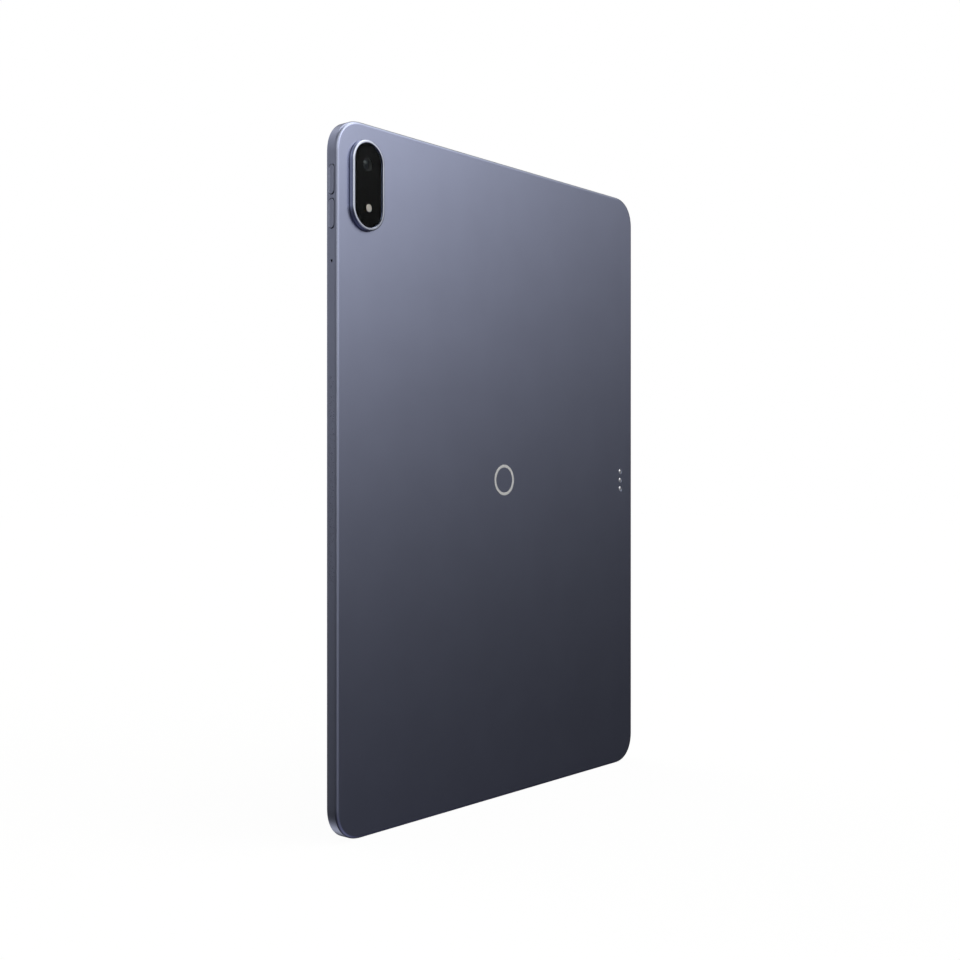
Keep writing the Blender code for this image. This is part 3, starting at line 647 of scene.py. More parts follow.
class TABLET_OT_rear_shell(bpy.types.Operator):
    """Metal rear shell with all of its slots, holes and screw bosses"""
    bl_idname = "tablet.rear_shell"
    bl_label = "Rear shell"

    def execute(self, context):
        mesh = shell_mesh(context.scene.tablet_shell)
        mesh = carved(mesh, side_cutters())
        mesh = carved(mesh, end_cutters(True))
        mesh = carved(mesh, end_cutters(False))
        for solid in back_cutters():
            mesh = carved(mesh, solid)
        bosses, threads = [], []
        for name in ("board_screw_left", "board_screw_right"):
            middle = centre_of(name)
            place = on_plane("back", middle)
            boss = [(BOSS_RADIUS, BOSS_FACE), (BOSS_RADIUS, FLOOR_DEPTH + 0.3 * MM)]
            thread = [(THREAD_RADIUS, BOSS_FACE - OVERSHOOT), (THREAD_RADIUS, BOSS_BORE)]
            bosses.append(turned(raised(boss, FRONT_FACE), "back", place))
            threads.append(turned(raised(thread, FRONT_FACE), "back", place))
        mesh = carved(mesh, together(bosses), "UNION")
        mesh = carved(mesh, together(threads))
        piece("rear_shell", mesh, "casing", anodised(),
              ["rear_housing"])
        return {"FINISHED"}


class TABLET_OT_screen(bpy.types.Operator):
    """Screen glass, black surround, printed border, display and front camera"""
    bl_idname = "tablet.screen"
    bl_label = "Screen"

    def execute(self, context):
        scene = context.scene
        shell, screen = scene.tablet_shell, scene.tablet_screen

        def slab(part):
            return slab_loop(part, shell)

        inset = HALF_WIDTH - GLASS_HIGH[0]
        thick = GLASS_HIGH[1] - GLASS_LOW[1]
        turn = np.linspace(0.0, math.pi / 2, 9)
        crown = [(inset + 0.05 * MM, thick), (inset, thick - 0.05 * MM)]
        crown += [(inset + 0.60 * MM * (1 - math.cos(t)), 0.30 * MM * (1 - math.sin(t)))
                  for t in turn]
        glass = clear("screen_glass", (0.96, 0.98, 0.97), 0.02, 0.5, IOR=1.25)
        piece("screen_glass", mesh_of(swept(raised(crown, FRONT_FACE), slab, "back")),
              "casing", glass, ["cover_glass"])

        ring = [(0.93, 0.16), (1.07, 0.16), (1.07, 1.12), (0.93, 1.12)]
        resin = grained("surround_resin", (0.02, 0.02, 0.022), 0.5, 2500.0, 0.004 * MM)
        piece("glass_surround", mesh_of(swept(raised(ring, FRONT_FACE, MM), slab, "back",
              closed=True)), "casing", resin)

        size_x, size_z = 2 * (HALF_WIDTH - screen.border), 2 * (HALF_HEIGHT - screen.border)
        outer = slab_loop(inset + 0.12 * MM, shell)
        inner = box_loop(size_x, size_z, screen.picture_corner, shell.corner_steps)
        near, far = GLASS_HIGH[1] + 0.02 * MM, GLASS_HIGH[1] + 0.05 * MM
        border = mesh_of(skin(lifted([outer, inner, inner, outer],
                         [near, near, far, far], "back"), closed=True))
        camera, sensor = centre_of("front_camera"), centre_of("light_sensor")
        openings = together([turned([(radius, near - OVERSHOOT), (radius, far + OVERSHOOT)],
                                    "back", on_plane("back", middle))
                             for radius, middle in ((1.3 * MM, camera), (0.9 * MM, sensor))])
        piece("screen_border", carved(border, openings), "casing",
              dark_print("border_ink"))

        low, high = np.array(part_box("lcd_panel"))
        panel_x, panel_z = on_plane("back", high - low)
        edge = 0.05 * MM
        profile = [(edge, low[1]), (0.0, low[1] + edge), (0.0, high[1] - edge),
                   (edge, high[1])]
        display = swept(profile, lambda part: box_loop(panel_x - 2 * part, panel_z - 2 * part,
                        1.0 * MM), "back", on_plane("back", (low + high) / 2))
        panel = grained("display_panel", tuple(screen.panel), 0.22, 6000.0, 0.0005 * MM,
                        vary=0.12, specular_ior_level=0.12)
        piece("display_panel", mesh_of(display), "casing", panel, ["lcd_panel"])

        face = far + 0.02 * MM
        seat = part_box("front_camera")[0][1] - 0.01 * MM
        profile = [(0.0, face), (0.55 * MM, face + 0.015 * MM), (0.75 * MM, face + 0.05 * MM),
                   (0.75 * MM, seat), (0.0, seat)]
        place = on_plane("back", camera)
        lens = lens_glass("front_lens_glass")
        piece("front_lens", mesh_of(turned(profile, "back", place)), "casing",
              lens)
        profile = [(0.85, 0.03), (1.25, 0.0), (1.25, 0.06), (0.85, 0.06)]
        piece("front_lens_ring", mesh_of(swept(raised(profile, face, MM), round_loop, "back",
              place, closed=True)), "casing",
              lathed("lens_ring_black", (0.015, 0.015, 0.017), 0.35, camera, "back",
                     0.1 * MM, 0.002 * MM))
        profile = [(0.0, face), (0.8 * MM, face), (0.8 * MM, seat), (0.0, seat)]
        filter_ink = dark_print("sensor_filter", (0.03, 0.01, 0.02), 0.15)
        piece("sensor_filter", mesh_of(turned(profile, "back",
              on_plane("back", sensor))), "casing", filter_ink)
        return {"FINISHED"}


def lens_glass(name):
    """Coated lens with a faint gloss, painted nearly black: painted shade for the dark inside of
    the camera seen through the glass.
    """
    material, tree, shader, place = surface(name, {
        "Roughness": 0.03, "IOR": 1.6, "Specular IOR Level": 0.25})
    wide = noise(tree, place, 900.0)
    # Painted shade: this near-black colour stands for the dark inside of the camera seen through
    # the clear glass.
    tree.links.new(blend(tree, spread(tree, wide, 0.0, 1.0), (0.004, 0.006, 0.010, 1.0),
                         (0.010, 0.012, 0.020, 1.0)), shader.inputs["Base Color"])
    return material


class TABLET_OT_camera_island(bpy.types.Operator):
    """Island rim, its window and the print behind the window"""
    bl_idname = "tablet.camera_island"
    bl_label = "Camera island"

    def execute(self, context):
        island = context.scene.tablet_island
        width, height = on_plane("back", size_of("camera_ring"))
        place = on_plane("back", centre_of("camera_ring"))
        low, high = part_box("camera_ring")
        top, bottom = high[1], low[1]
        foot = BACK_FACE - ISLAND_FOOT
        edge = quarter_round(island.edge, 8)
        soft = 0.05 * MM
        profile = [(LEDGE_INSET, bottom), (COLLAR_INSET, bottom), (COLLAR_INSET, foot),
                   (soft, foot), (0.0, foot + soft), (0.0, BACK_FACE + STEP_HEIGHT - soft),
                   (soft, BACK_FACE + STEP_HEIGHT), (STEP_INSET, BACK_FACE + STEP_HEIGHT)]
        satin = len(profile)
        profile += [(STEP_INSET + inset, top - drop) for inset, drop in edge]
        profile += [(island.rim_width - 0.05 * MM, top), (island.rim_width, top - 0.05 * MM)]
        bright = len(profile) - 1
        profile += [(island.rim_width, BACK_FACE + LEDGE_HEIGHT),
                    (LEDGE_INSET, BACK_FACE + LEDGE_HEIGHT)]
        solid = swept(profile, lambda inset: pill_loop(width, height, inset, 48), "back",
                      place, closed=True)
        rim = piece("island_rim", mesh_of(solid), "casing",
                    [anodised(), polished()], ["camera_ring"])
        band = np.repeat(np.arange(len(profile)), len(solid[1]) // len(profile))
        polish = ((band >= satin) & (band < bright)).astype(np.int32)
        rim.data.polygons.foreach_set("material_index", polish)

        low, high = np.array(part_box("camera_window"))
        window_x, window_z = on_plane("back", high - low)
        bevel = 0.10 * MM

        def pane(inset):
            return pill_loop(window_x, window_z, inset, 48)

        profile = [(0.03 * MM, low[1]), (0.0, low[1] + 0.03 * MM), (0.0, high[1] - bevel)]
        profile += [(inset, high[1] - drop) for inset, drop in quarter_round(bevel, 5)]
        window = mesh_of(swept(profile, pane, "back", place))
        flash = on_plane("back", centre_of("flash_lens"))
        hole = size_of("flash_lens")[2] / 2 + HOLE_GAP
        window = carved(window, cutter(lambda inset: round_loop(hole - inset, 64), high[1], True,
                                       low[1] - OVERSHOOT, "back", flash, 0.05 * MM))
        glass = clear("island_glass", (0.75, 0.80, 0.80), 0.015, 0.5, IOR=1.12)
        piece("island_window", window, "casing", glass, ["camera_window"])

        near, far = low[1] - 0.015 * MM, low[1] - 0.055 * MM
        print_mesh = mesh_of(swept([(0.05 * MM, near), (0.05 * MM, far)], pane, "back", place))
        lens = on_plane("back", centre_of("rear_camera_lens"))
        openings = together([turned([(radius, far - OVERSHOOT), (radius, near + OVERSHOOT)],
                                    "back", spot)
                             for radius, spot in ((island.lens_opening / 2, lens),
                                                  (hole, flash))])
        piece("island_print", carved(print_mesh, openings), "casing",
              dark_print("island_ink"))
        return {"FINISHED"}


class TABLET_OT_rear_camera(bpy.types.Operator):
    """Camera module with a stepped black barrel, and its focusing lens group"""
    bl_idname = "tablet.rear_camera"
    bl_label = "Rear camera"

    def execute(self, context):
        low, high = np.array(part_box("rear_camera_body"))
        lens_low, lens_high = np.array(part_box("rear_camera_lens"))
        lens = (lens_low + lens_high) / 2
        place = on_plane("back", lens)
        base_x, base_z = on_plane("back", high - low)
        shoulder = FRONT_FACE + SHOULDER_DEPTH
        bevel = 0.25 * MM
        loops = [box_loop(base_x, base_z, 0.8 * MM, 8), box_loop(base_x, base_z, 0.8 * MM, 8),
                 box_loop(base_x - 2 * bevel, base_z - 2 * bevel, 0.7 * MM, 8)]
        base = skin(lifted(loops, [low[1], shoulder - bevel, shoulder], "back", place))
        chamfer = 0.15 * MM
        tower = turned([(TOWER_RADIUS, shoulder - 0.5 * MM),
                        (TOWER_RADIUS, high[1] - chamfer), (TOWER_RADIUS - chamfer, high[1]),
                        (0.0, high[1])], "back", place, 64)
        mouth, floor = high[1] + OVERSHOOT, FRONT_FACE + BARREL_FLOOR
        bore = turned([(0.0, mouth), (BARREL_RADIUS, mouth), (BARREL_RADIUS, floor),
                       (0.0, floor)], "back", place, 64)
        body = carved(carved(mesh_of(base), tower, "UNION"), bore)
        black = lathed("barrel_black", (0.012, 0.012, 0.014), 0.45, lens, "back",
                       0.25 * MM, 0.01 * MM)
        piece("camera_module", body, "casing", black, ["rear_camera_body"])

        face = lens_high[1]
        radius = (lens_high[0] - lens_low[0]) / 2
        steps = [(0.0, lens_low[1]), (radius - 0.2 * MM, lens_low[1]),
                 (radius, lens_low[1] + 0.2 * MM), (radius, face - 0.1 * MM),
                 (radius - 0.1 * MM, face)]
        steps += raised([(2.75, 0.0), (2.55, -0.18), (2.35, -0.18), (2.15, -0.36),
                         (1.95, -0.36), (1.70, -0.62), (0.0, -0.62)], face, MM)
        barrel = mesh_of(turned(steps, "back", place, 64))
        piece("lens_barrel", barrel, "focus_lens",
              lathed("lens_step_black", (0.01, 0.01, 0.012), 0.38, lens, "back", 0.12 * MM,
                     0.006 * MM))
        dome = np.linspace(0.0, 1.0, 11)
        rise = 0.30 * MM * (1.0 - dome ** 2)
        element = [(1.90 * MM * part, face - 0.34 * MM + up) for part, up in zip(dome, rise)]
        element.append((0.0, face - 0.345 * MM))
        piece("lens_front_element", mesh_of(turned(element, "back",
              place, 64)), "focus_lens", lens_glass("lens_coating_and_shade"),
              ["rear_camera_lens"])
        return {"FINISHED"}


class TABLET_OT_flash(bpy.types.Operator):
    """Flash cover with moulded rings, black cup and two warm emitters"""
    bl_idname = "tablet.flash"
    bl_label = "Flash"

    def execute(self, context):
        island = context.scene.tablet_island
        low, high = np.array(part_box("flash_lens"))
        middle = (low + high) / 2
        place = on_plane("back", middle)
        radius = (high[2] - low[2]) / 2
        along = np.linspace(0.0, 1.0, 61)
        saw = (along * 9.0) % 1.0
        groove = 0.035 * MM * saw * (along > 0.2) * (along < 0.86)
        top = high[1] - 0.02 * MM - groove - 0.03 * MM * along ** 2
        profile = [(radius * part * 0.985, level) for part, level in zip(along, top)]
        profile += [(radius, top[-1] - 0.05 * MM), (radius, low[1] + 0.04 * MM),
                    (radius - 0.04 * MM, low[1]), (0.0, low[1])]
        material, tree, shader, where = surface("flash_cover", {
            "Transmission Weight": 0.55, "IOR": 1.45, "Specular IOR Level": 0.4,
            "Subsurface Weight": 0.2, "Subsurface Scale": 0.5 * MM})
        fine = noise(tree, where, 1500.0)
        tree.links.new(blend(tree, fine, (0.90, 0.88, 0.80, 1.0), (0.97, 0.96, 0.92, 1.0)),
                       shader.inputs["Base Color"])
        tree.links.new(spread(tree, fine, 0.12, 0.22), shader.inputs["Roughness"])
        ink = dark_print("flash_surround_ink", roughness=0.4)
        cover = piece("flash_cover", mesh_of(turned(profile, "back", place, 64)),
                      "casing", [material, ink], ["flash_lens"])
        faces = cover.data.polygons
        spots = np.empty(len(faces) * 3)
        faces.foreach_get("center", spots)
        spots = spots.reshape(-1, 3)
        away = np.hypot(spots[:, 0] - middle[0], spots[:, 2] - middle[2])
        faces.foreach_set("material_index", (away > FLASH_CLEAR).astype(np.int32))

        led_low, led_high = np.array(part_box("flash_led"))
        size = led_high[0] - led_low[0]
        pad = (size - 0.2 * MM) / 2
        pads = []
        for side in (-1, 1):
            loops = [box_loop(size, pad, 0.12 * MM), box_loop(size, pad, 0.12 * MM),
                     box_loop(size - 0.12 * MM, pad - 0.12 * MM, 0.08 * MM)]
            levels = [led_low[1], led_high[1] - 0.06 * MM, led_high[1]]
            spot = (middle[0], middle[2] + side * (pad / 2 + 0.1 * MM))
            pads.append(skin(lifted(loops, levels, "back", spot)))
        phosphor = grained("phosphor", tuple(island.flash_warmth), 0.55, 9000.0, 0.004 * MM,
                           vary=0.12)
        piece("flash_emitters", mesh_of(together(pads)), "casing",
              phosphor, ["flash_led"])
        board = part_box("flash_board")[1][1]
        profile = [(2.05, 0.0), (2.4, 0.0), (2.4, 0.92), (2.25, 0.92)]
        cup = grained("flash_cup_black", (0.02, 0.02, 0.022), 0.4, 3000.0, 0.004 * MM)
        ring = swept(raised(profile, board + 0.02 * MM, MM),
                     lambda radius: round_loop(radius, 64), "back", place, closed=True)
        piece("flash_cup", mesh_of(ring), "casing", cup)
        return {"FINISHED"}


def button_solid(node_name, plane, outer, wall, upright, settings):
    """Pill rings: a cap with a rounded edge, a wider flange behind the wall, and a nib."""
    middle = centre_of(node_name)
    size = size_of(node_name)
    wider, longer = FLANGE_EXTRA
    along = (size[2] if upright else size[0]) - longer
    cap = (CAP_WIDTH, along)
    flange = (CAP_WIDTH + wider, along + longer)
    sizes, levels = [], []
    for inset, drop in quarter_round(settings.edge, 6)[::-1]:
        sizes.append((CAP_WIDTH - 2 * inset, along - 2 * inset))
        levels.append(outer + settings.proud - drop)
    inner = wall - FLANGE_GAP
    back = inner - FLANGE_THICK
    sizes += [cap, flange, flange, NIB_SIZE, NIB_SIZE]
    levels += [inner, inner, back, back, back - NIB_LENGTH]
    loops = [pill_loop(*(pair if upright else pair[::-1]), 0.0, 20) for pair in sizes]
    return mesh_of(skin(lifted(loops, levels, plane, on_plane(plane, middle))))


class TABLET_OT_buttons(bpy.types.Operator):
    """Volume and power caps, each on its own moving body"""
    bl_idname = "tablet.buttons"
    bl_label = "Buttons"

    def execute(self, context):
        settings = context.scene.tablet_buttons
        for body in ("volume_up", "volume_down"):
            mesh = button_solid(f"{body}_button", "side", HALF_WIDTH, HALF_WIDTH - WALL, True,
                                settings)
            piece(f"{body}_cap", mesh, body, anodised(),
                  [f"{body}_button"])
        mesh = button_solid("power_button", "end", HALF_HEIGHT, HALF_HEIGHT - WALL, False,
                            settings)
        piece("power_cap", mesh, "power", anodised(), ["power_button"])
        return {"FINISHED"}


class TABLET_OT_stylus_insert(bpy.types.Operator):
    """Tinted insert that a stylus charges through"""
    bl_idname = "tablet.stylus_insert"
    bl_label = "Stylus insert"

    def execute(self, context):
        low, high = np.array(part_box("stylus_window"))
        middle = (low + high) / 2
        profile = [(0.0, low[0]), (0.0, high[0] - 0.02 * MM), (0.02 * MM, high[0])]
        insert = swept(profile, lambda inset: pill_loop(*on_plane("side", high - low), inset),
                       "side", on_plane("side", middle))
        metal = tuple(context.scene.tablet_shell.metal)
        tinted = grained("tinted_insert", metal, 0.31, 2600.0, 0.004 * MM, vary=0.03,
                         metallic=1.0)
        piece("stylus_insert", mesh_of(insert), "casing", tinted, ["stylus_window"])
        return {"FINISHED"}


class TABLET_OT_keyboard_contacts(bpy.types.Operator):
    """Three plated contacts in the back"""
    bl_idname = "tablet.keyboard_contacts"
    bl_label = "Keyboard contacts"

    def execute(self, context):
        for name in ("contact_upper", "contact_middle", "contact_lower"):
            low, high = np.array(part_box(name))
            middle = (low + high) / 2
            radius = (high[0] - low[0]) / 2
            along = np.linspace(0.0, 1.0, 15)
            dome = high[1] - CONTACT_DOME * along ** 2
            profile = [(radius * part, level) for part, level in zip(along, dome)]
            profile += [(radius, low[1]), (0.0, low[1])]
            plated = lathed(f"{name}_plating", (0.93, 0.93, 0.96), 0.40, middle, "back",
                            0.16 * MM, 0.001 * MM, metallic=1.0)
            piece(f"{name}_pin", mesh_of(turned(profile, "back",
                  on_plane("back", middle))), "casing", plated, [name])
        return {"FINISHED"}


class TABLET_OT_charging_socket(bpy.types.Operator):
    """Steel sleeve, centre blade and its gold pads"""
    bl_idname = "tablet.charging_socket"
    bl_label = "Charging socket"

    def execute(self, context):
        low, high = np.array(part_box("socket_shell"))
        middle = (low + high) / 2
        wide, tall = high[0] - low[0], high[1] - low[1]
        wall, lip = 0.30 * MM, 0.08 * MM
        profile = [(lip, low[2]), (0.0, low[2] + lip), (0.0, high[2]), (wall, high[2]),
                   (wall, low[2] + lip), (wall - lip, low[2])]
        sleeve = swept(profile, lambda inset: pill_loop(wide, tall, inset), "end", middle[:2],
                       closed=True)
        steel = grained("socket_steel", (0.60, 0.60, 0.61), 0.24, 900.0, 0.002 * MM,
                        stretch=(1.0, 1.0, 0.05), metallic=1.0)
        piece("socket_sleeve", mesh_of(sleeve), "casing", steel, ["socket_shell"])

        low, high = np.array(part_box("socket_tongue"))
        middle = (low + high) / 2
        wide, tall = high[0] - low[0], high[1] - low[1]
        bevel = 0.12 * MM
        loops = [box_loop(wide - 2 * bevel, tall - 2 * bevel, 0.15 * MM),
                 box_loop(wide, tall, 0.2 * MM), box_loop(wide, tall, 0.2 * MM)]
        levels = [low[2], low[2] + bevel, high[2]]
        blade = grained("blade_plastic", (0.02, 0.02, 0.022), 0.42, 2200.0, 0.005 * MM)
        piece("socket_blade", mesh_of(skin(lifted(loops, levels, "end",
              middle[:2]))), "casing", blade, ["socket_tongue"])
        pads = []
        for x in (np.arange(12) - 5.5) * 0.5 * MM:
            for side in (-1, 1):
                face = middle[1] + side * (tall / 2 + 0.015 * MM)
                loops = [box_loop(0.28 * MM, 0.02 * MM, 0.005 * MM, 2)] * 2
                pads.append(skin(lifted(loops, [low[2] + 0.6 * MM, high[2] - 0.4 * MM], "end",
                                        (middle[0] + x, face))))
        gold = grained("gold_plating", (0.90, 0.64, 0.28), 0.22, 4000.0, 0.001 * MM,
                       metallic=1.0)
        piece("socket_pads", mesh_of(together(pads)), "casing",
              gold)
        return {"FINISHED"}


class TABLET_OT_sound_gauzes(bpy.types.Operator):
    """Woven gauzes behind the sound holes and the microphone holes"""
    bl_idname = "tablet.sound_gauzes"
    bl_label = "Sound gauzes"

    def execute(self, context):
        material, tree, shader, place = surface("woven_gauze", {"Metallic": 0.6})
        height = None
        for axis in ("X", "Y"):
            wave = node(tree, "ShaderNodeTexWave", {"Vector": place, "Scale": 1600.0},
                        wave_type="BANDS", bands_direction=axis).outputs["Fac"]
            height = wave if height is None else node(tree, "ShaderNodeMath",
                     {0: height, 1: wave}, operation="MAXIMUM").outputs[0]
        # Painted shade: the colour follows the weave height, falling to near-black between the
        # wires.
        tree.links.new(blend(tree, height, (0.004, 0.004, 0.004, 1.0), (0.06, 0.06, 0.065, 1.0)),
                       shader.inputs["Base Color"])
        tree.links.new(spread(tree, height, 0.7, 0.4), shader.inputs["Roughness"])
        relief(tree, shader, height, 0.03 * MM)
        middle_y = centre_of("stylus_window")[1]
        run = (GRILLE_HOLES - 1) * GRILLE_PITCH + 2.4 * MM
        for end, level in (("top", HALF_HEIGHT - WALL - 0.12 * MM),
                           ("bottom", -HALF_HEIGHT + WALL + 0.12 * MM)):
            for side, x in (("left", -GRILLE_CENTRE), ("right", GRILLE_CENTRE)):
                loops = [pill_loop(run, 2.2 * MM)] * 2
                levels = [level - 0.05 * MM, level + 0.05 * MM]
                piece(f"sound_gauze_{end}_{side}", mesh_of(skin(lifted(loops, levels,
                      "end", (x, middle_y)))), "casing", material)
        radius = MIC_RADIUS - 0.03 * MM
        side_z = centre_of("side_microphone")[2]
        bottom_x = centre_of("bottom_microphone")[0]
        for name, plane, level, inwards, spot in (
                ("side_microphone_gauze", "side", HALF_WIDTH - GAUZE_DEPTH, -1,
                 (middle_y, side_z)),
                ("bottom_microphone_gauze", "end", -HALF_HEIGHT + GAUZE_DEPTH, 1,
                 (bottom_x, middle_y))):
            back = level + inwards * GAUZE_THICK
            disc = [(0.0, level), (radius, level), (radius, back), (0.0, back)]
            piece(name, mesh_of(turned(disc, plane, spot, 24)), "casing",
                  material)
        return {"FINISHED"}


class TABLET_OT_emblem(bpy.types.Operator):
    """Plain polished ring set in the middle of the back"""
    bl_idname = "tablet.emblem"
    bl_label = "Emblem"

    def execute(self, context):
        emblem = context.scene.tablet_emblem
        outer = emblem.diameter / 2
        inner = outer - emblem.band
        soft = min(emblem.proud, 0.02 * MM)
        top = BACK_FACE + emblem.proud
        base = BACK_FACE - 0.0005 * MM
        profile = [(outer, base), (outer, top - soft / 2), (outer - soft, top),
                   (inner + soft, top), (inner, top - soft / 2), (inner, base)]
        ring = swept(profile, lambda radius: round_loop(radius, 96), "back", closed=True)
        piece("emblem_ring", mesh_of(ring), "casing",
              grained("emblem_silver", (0.84, 0.84, 0.83), 0.55, 3000.0, 0.001 * MM,
                      vary=0.03, rough_vary=0.04, metallic=1.0))
        return {"FINISHED"}


# ------------------------------------------------------------------ inner pieces
def battery_foil():
    """Pouch foil with shallow creases, and painted shade: darker in the crease troughs, lighter
    on the crests.
    """
    material, tree, shader, place = surface("battery_foil_finish", {"Metallic": 0.6})
    crease_and_shade = noise(tree, place, 45.0, 6.0, (1.0, 1.0, 0.4))
    fine = noise(tree, place, 2500.0)
    # Painted shade and light: the colour follows the crease relief, darker in its troughs and
    # lighter on its crests.
    tree.links.new(blend(tree, crease_and_shade, (0.07, 0.07, 0.08, 1.0), (0.14, 0.14, 0.15, 1.0)),
                   shader.inputs["Base Color"])
    tree.links.new(spread(tree, fine, 0.35, 0.5), shader.inputs["Roughness"])
    relief(tree, shader, crease_and_shade, 0.2 * MM, 0.6)
    return material


def board_finish():
    """Solder mask over copper tracks, with round plated pads."""
    material, tree, shader, place = surface("solder_mask_finish", {"Coat Weight": 0.3})
    cells = node(tree, "ShaderNodeTexVoronoi", {"Vector": place, "Scale": 700.0},
                 distance="CHEBYCHEV").outputs["Distance"]
    tracks = spread(tree, cells, 0.0, 1.0, 0.38, 0.42)
    pads = node(tree, "ShaderNodeTexVoronoi", {"Vector": place, "Scale": 420.0}).outputs[0]
    dots = spread(tree, pads, 1.0, 0.0, 0.14, 0.17)
    mask = blend(tree, tracks, (0.008, 0.045, 0.028, 1.0), (0.014, 0.075, 0.042, 1.0))
    tree.links.new(blend(tree, dots, mask, (0.75, 0.55, 0.28, 1.0)),
                   shader.inputs["Base Color"])
    tree.links.new(spread(tree, dots, 0.45, 0.25, 0.0, 1.0), shader.inputs["Roughness"])
    tree.links.new(dots, shader.inputs["Metallic"])
    relief(tree, shader, tracks, 0.02 * MM)
    return material


def coil_finish():
    """Enamelled wire: fine bands along the coil, with painted shade in the sunken bands between
    the turns.
    """
    # Painted shade: the darker copper lies in the sunken bands between the turns.
    return striped("coil_wire_finish", (0.50, 0.22, 0.09), (0.72, 0.38, 0.18), 0.12 * MM, "X",
                   0.3, 0.03 * MM, metallic=1.0)


class TABLET_OT_inner_finishes(bpy.types.Operator):
    """Finishes for every piece of the frame that stays as it is"""
    bl_idname = "tablet.inner_finishes"
    bl_label = "Inner finishes"

    def execute(self, context):
        moulded = grained("moulded_black_finish", (0.02, 0.02, 0.022), 0.5, 2400.0, 0.01 * MM,
                          vary=0.15)
        steel = grained("sheet_steel_finish", (0.56, 0.56, 0.57), 0.32, 1200.0, 0.004 * MM,
                        stretch=(1.0, 1.0, 0.06), metallic=1.0)
        finishes = {
            "adhesive": grained("foam_adhesive_finish", (0.03, 0.03, 0.03), 0.85, 5000.0,
                                0.03 * MM, vary=0.2),
            "black_plastic": moulded,
            "graphite": grained("graphite_finish", (0.06, 0.06, 0.065), 0.45, 700.0,
                                0.03 * MM, vary=0.1, metallic=0.3),
            "flex_film": striped("flex_film_finish", (0.10, 0.05, 0.02), (0.20, 0.10, 0.035),
                                 0.35 * MM, "X", 0.4, 0.01 * MM),
            "circuit_board": board_finish(),
            "chip_resin": grained("chip_resin_finish", (0.02, 0.02, 0.02), 0.55, 6000.0,
                                  0.008 * MM, vary=0.15),
            "shield_steel": steel,
            "battery_foil": battery_foil(),
            "magnet": grained("nickel_magnet_finish", (0.45, 0.45, 0.46), 0.28, 1800.0,
                              0.003 * MM, metallic=1.0),
            "copper_coil": coil_finish(),
            "contact_metal": grained("microphone_can_finish", (0.70, 0.68, 0.62), 0.3, 2600.0,
                                     0.004 * MM, metallic=1.0),
        }
        slots = {part["node"]: part["material_slot"] for part in frame["record"]["subparts"]}
        for name, thing in frame["nodes"].items():
            if thing.hide_render:
                continue
            material = finishes[slots[name]]
            thing.data.materials.clear()
            thing.data.materials.append(material)
        return {"FINISHED"}


# ------------------------------------------------------------------ studio
WHITE = (1.0, 1.0, 1.0)
WARM = (1.0, 1.0, 0.9)
COOL = (0.9, 0.9, 1.2)
# Soft lamps round the object: azimuth from +Y towards +X and elevation in
# degrees, sharpness of the lobe, strength and tint.
LAMPS = (
    (-60.0, 60.0, 20.0, 3.7, WARM),        # high, over the back's bright end
    (-30.0, 30.0, 20.0, 3.6, WHITE),       # key, on the back
    (0.0, 20.0, 20.0, 1.0, WHITE),         # beside the key
    (30.0, 30.0, 10.0, 1.4, WARM),         # wide, carries the back's light round the edge
    (45.0, 20.0, 40.0, 0.9, WHITE),        # narrow, draws the line along the back's edge
    (105.0, 25.0, 10.0, 0.6, WHITE),       # on the long side
    (20.0, -45.0, 6.0, 0.2, COOL),         # low fill from the floor
    (-30.0, -60.0, 12.0, 0.3, COOL),       # low fill on the back
    (180.0, 15.0, 12.0, 3.0, WHITE),       # on the screen side
    (180.0, 75.0, 20.0, 3.0, WHITE),       # overhead, screen side
    (180.0, -45.0, 20.0, 1.0, WHITE),      # low, screen side
)


def lamp_axis(azimuth, elevation):
    a, e = math.radians(azimuth), math.radians(elevation)
    return (math.sin(a) * math.cos(e), math.cos(a) * math.cos(e), math.sin(e))


def light_world(scene):
    """Soft lamps far away, each a smooth lobe exp(sharpness * (cosine - 1)); the camera
    sees plain white."""
    world = bpy.data.worlds.new("soft_studio")
    scene.world = world
    world.use_nodes = True
    tree = world.node_tree
    tree.nodes.clear()
    direction = node(tree, "ShaderNodeTexCoord").outputs["Generated"]
    direction = node(tree, "ShaderNodeVectorMath", {0: direction},
                     operation="NORMALIZE").outputs[0]
    total = None
    for azimuth, elevation, sharpness, strength, tint in LAMPS:
        cosine = node(tree, "ShaderNodeVectorMath", {0: direction,
                      1: lamp_axis(azimuth, elevation)}, operation="DOT_PRODUCT").outputs[1]
        power = node(tree, "ShaderNodeMath", {0: cosine, 1: sharpness, 2: -sharpness},
                     operation="MULTIPLY_ADD").outputs[0]
        lobe = node(tree, "ShaderNodeMath", {0: power}, operation="EXPONENT").outputs[0]
        value = tuple(strength * part for part in tint)
        lit = node(tree, "ShaderNodeVectorMath", {0: value}, operation="SCALE")
        tree.links.new(lobe, lit.inputs["Scale"])
        inputs = {0: lit.outputs[0]}
        if total is not None:
            inputs[1] = total
        total = node(tree, "ShaderNodeVectorMath", inputs, operation="ADD").outputs[0]
    lamps = node(tree, "ShaderNodeBackground", {"Color": total})
    white = node(tree, "ShaderNodeBackground", {"Color": (1.0, 1.0, 1.0, 1.0)})
    seen = node(tree, "ShaderNodeLightPath").outputs["Is Camera Ray"]
    mixed = node(tree, "ShaderNodeMixShader", {0: seen, 1: lamps.outputs[0],
                                               2: white.outputs[0]})
    output = node(tree, "ShaderNodeOutputWorld")
    tree.links.new(mixed.outputs[0], output.inputs[0])


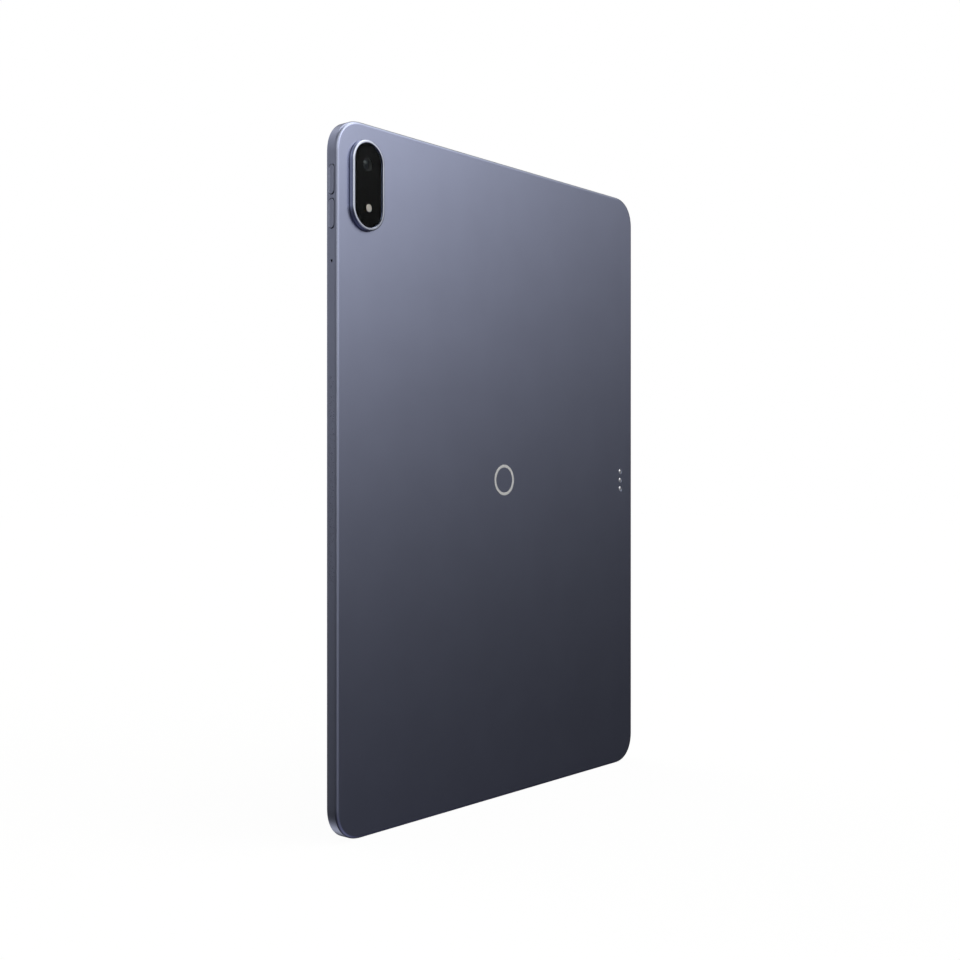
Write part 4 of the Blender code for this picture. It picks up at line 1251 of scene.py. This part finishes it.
class TABLET_OT_stage(bpy.types.Operator):
    """Pale floor, soft light and the camera"""
    bl_idname = "tablet.stage"
    bl_label = "Stage"

    def execute(self, context):
        scene = context.scene
        studio = scene.tablet_studio
        half = studio.floor_size / 2
        grid = np.array([(-half, -half), (half, -half), (half, half), (-half, half)])
        ground = CAD_BOX[0][2]
        points = np.column_stack([grid, np.full(4, ground)])
        mesh = bpy.data.meshes.new("floor")
        mesh.from_pydata(points.tolist(), [], [(0, 1, 2, 3)])
        floor = bpy.data.objects.new("floor", mesh)
        scene.collection.objects.link(floor)
        material, tree, shader, place = surface("pale_floor", {
            "Roughness": 0.9, "Specular IOR Level": 0.0, "Emission Strength": studio.floor_glow,
            "Emission Color": (1.0, 1.0, 1.0, 1.0)})
        wide = noise(tree, place, 3.0)
        value = tuple(studio.floor_colour)
        rest = 1.0 - studio.floor_glow
        tree.links.new(blend(tree, wide, shade(value, 0.98 * rest), shade(value, rest)),
                       shader.inputs["Base Color"])
        mesh.materials.append(material)
        floor.visible_glossy = False
        floor.visible_diffuse = False
        floor.visible_transmission = False
        light_world(scene)

        data = bpy.data.cameras.new("camera")
        camera = bpy.data.objects.new("camera", data)
        scene.collection.objects.link(camera)
        data.lens = studio.focal_length
        data.clip_start, data.clip_end = 0.01, 50.0
        a = studio.azimuth
        camera.location = (studio.aim_x + math.sin(a) * studio.distance,
                           studio.aim_y - math.cos(a) * studio.distance, 0.0)
        camera.rotation_euler = (math.radians(90.0), 0.0, a)
        scene.camera = camera
        scene.view_settings.view_transform = "Standard"
        return {"FINISHED"}


class TABLET_PT_panel(bpy.types.Panel):
    """Lists the settings and the steps that build the tablet."""
    bl_idname = "TABLET_PT_panel"
    bl_label = "Tablet computer"
    bl_space_type = "VIEW_3D"
    bl_region_type = "UI"
    bl_category = "Tablet"

    def draw(self, context):
        layout = self.layout
        for name in SETTINGS:
            box = layout.box()
            group = getattr(context.scene, name)
            for key in group.bl_rna.properties.keys():
                if key not in ("rna_type", "name"):
                    box.prop(group, key)
        for step in STEPS:
            layout.operator(step.bl_idname)


SETTINGS = {
    "tablet_shell": ShellSettings,
    "tablet_island": IslandSettings,
    "tablet_buttons": ButtonSettings,
    "tablet_screen": ScreenSettings,
    "tablet_emblem": EmblemSettings,
    "tablet_studio": StudioSettings,
}
STEPS = (
    TABLET_OT_rear_shell,
    TABLET_OT_screen,
    TABLET_OT_camera_island,
    TABLET_OT_rear_camera,
    TABLET_OT_flash,
    TABLET_OT_buttons,
    TABLET_OT_stylus_insert,
    TABLET_OT_keyboard_contacts,
    TABLET_OT_charging_socket,
    TABLET_OT_sound_gauzes,
    TABLET_OT_emblem,
    TABLET_OT_inner_finishes,
    TABLET_OT_stage,
)


def register():
    for name, group in SETTINGS.items():
        bpy.utils.register_class(group)
        setattr(bpy.types.Scene, name, PointerProperty(type=group))
    for step in STEPS:
        bpy.utils.register_class(step)
    bpy.utils.register_class(TABLET_PT_panel)


def unregister():
    bpy.utils.unregister_class(TABLET_PT_panel)
    for step in reversed(STEPS):
        bpy.utils.unregister_class(step)
    for name, group in reversed(SETTINGS.items()):
        delattr(bpy.types.Scene, name)
        bpy.utils.unregister_class(group)


def main():
    """Builds every piece in order."""
    register()
    for step in STEPS:
        group, name = step.bl_idname.split(".")
        getattr(getattr(bpy.ops, group), name)()


if __name__ == "__main__":
    main()
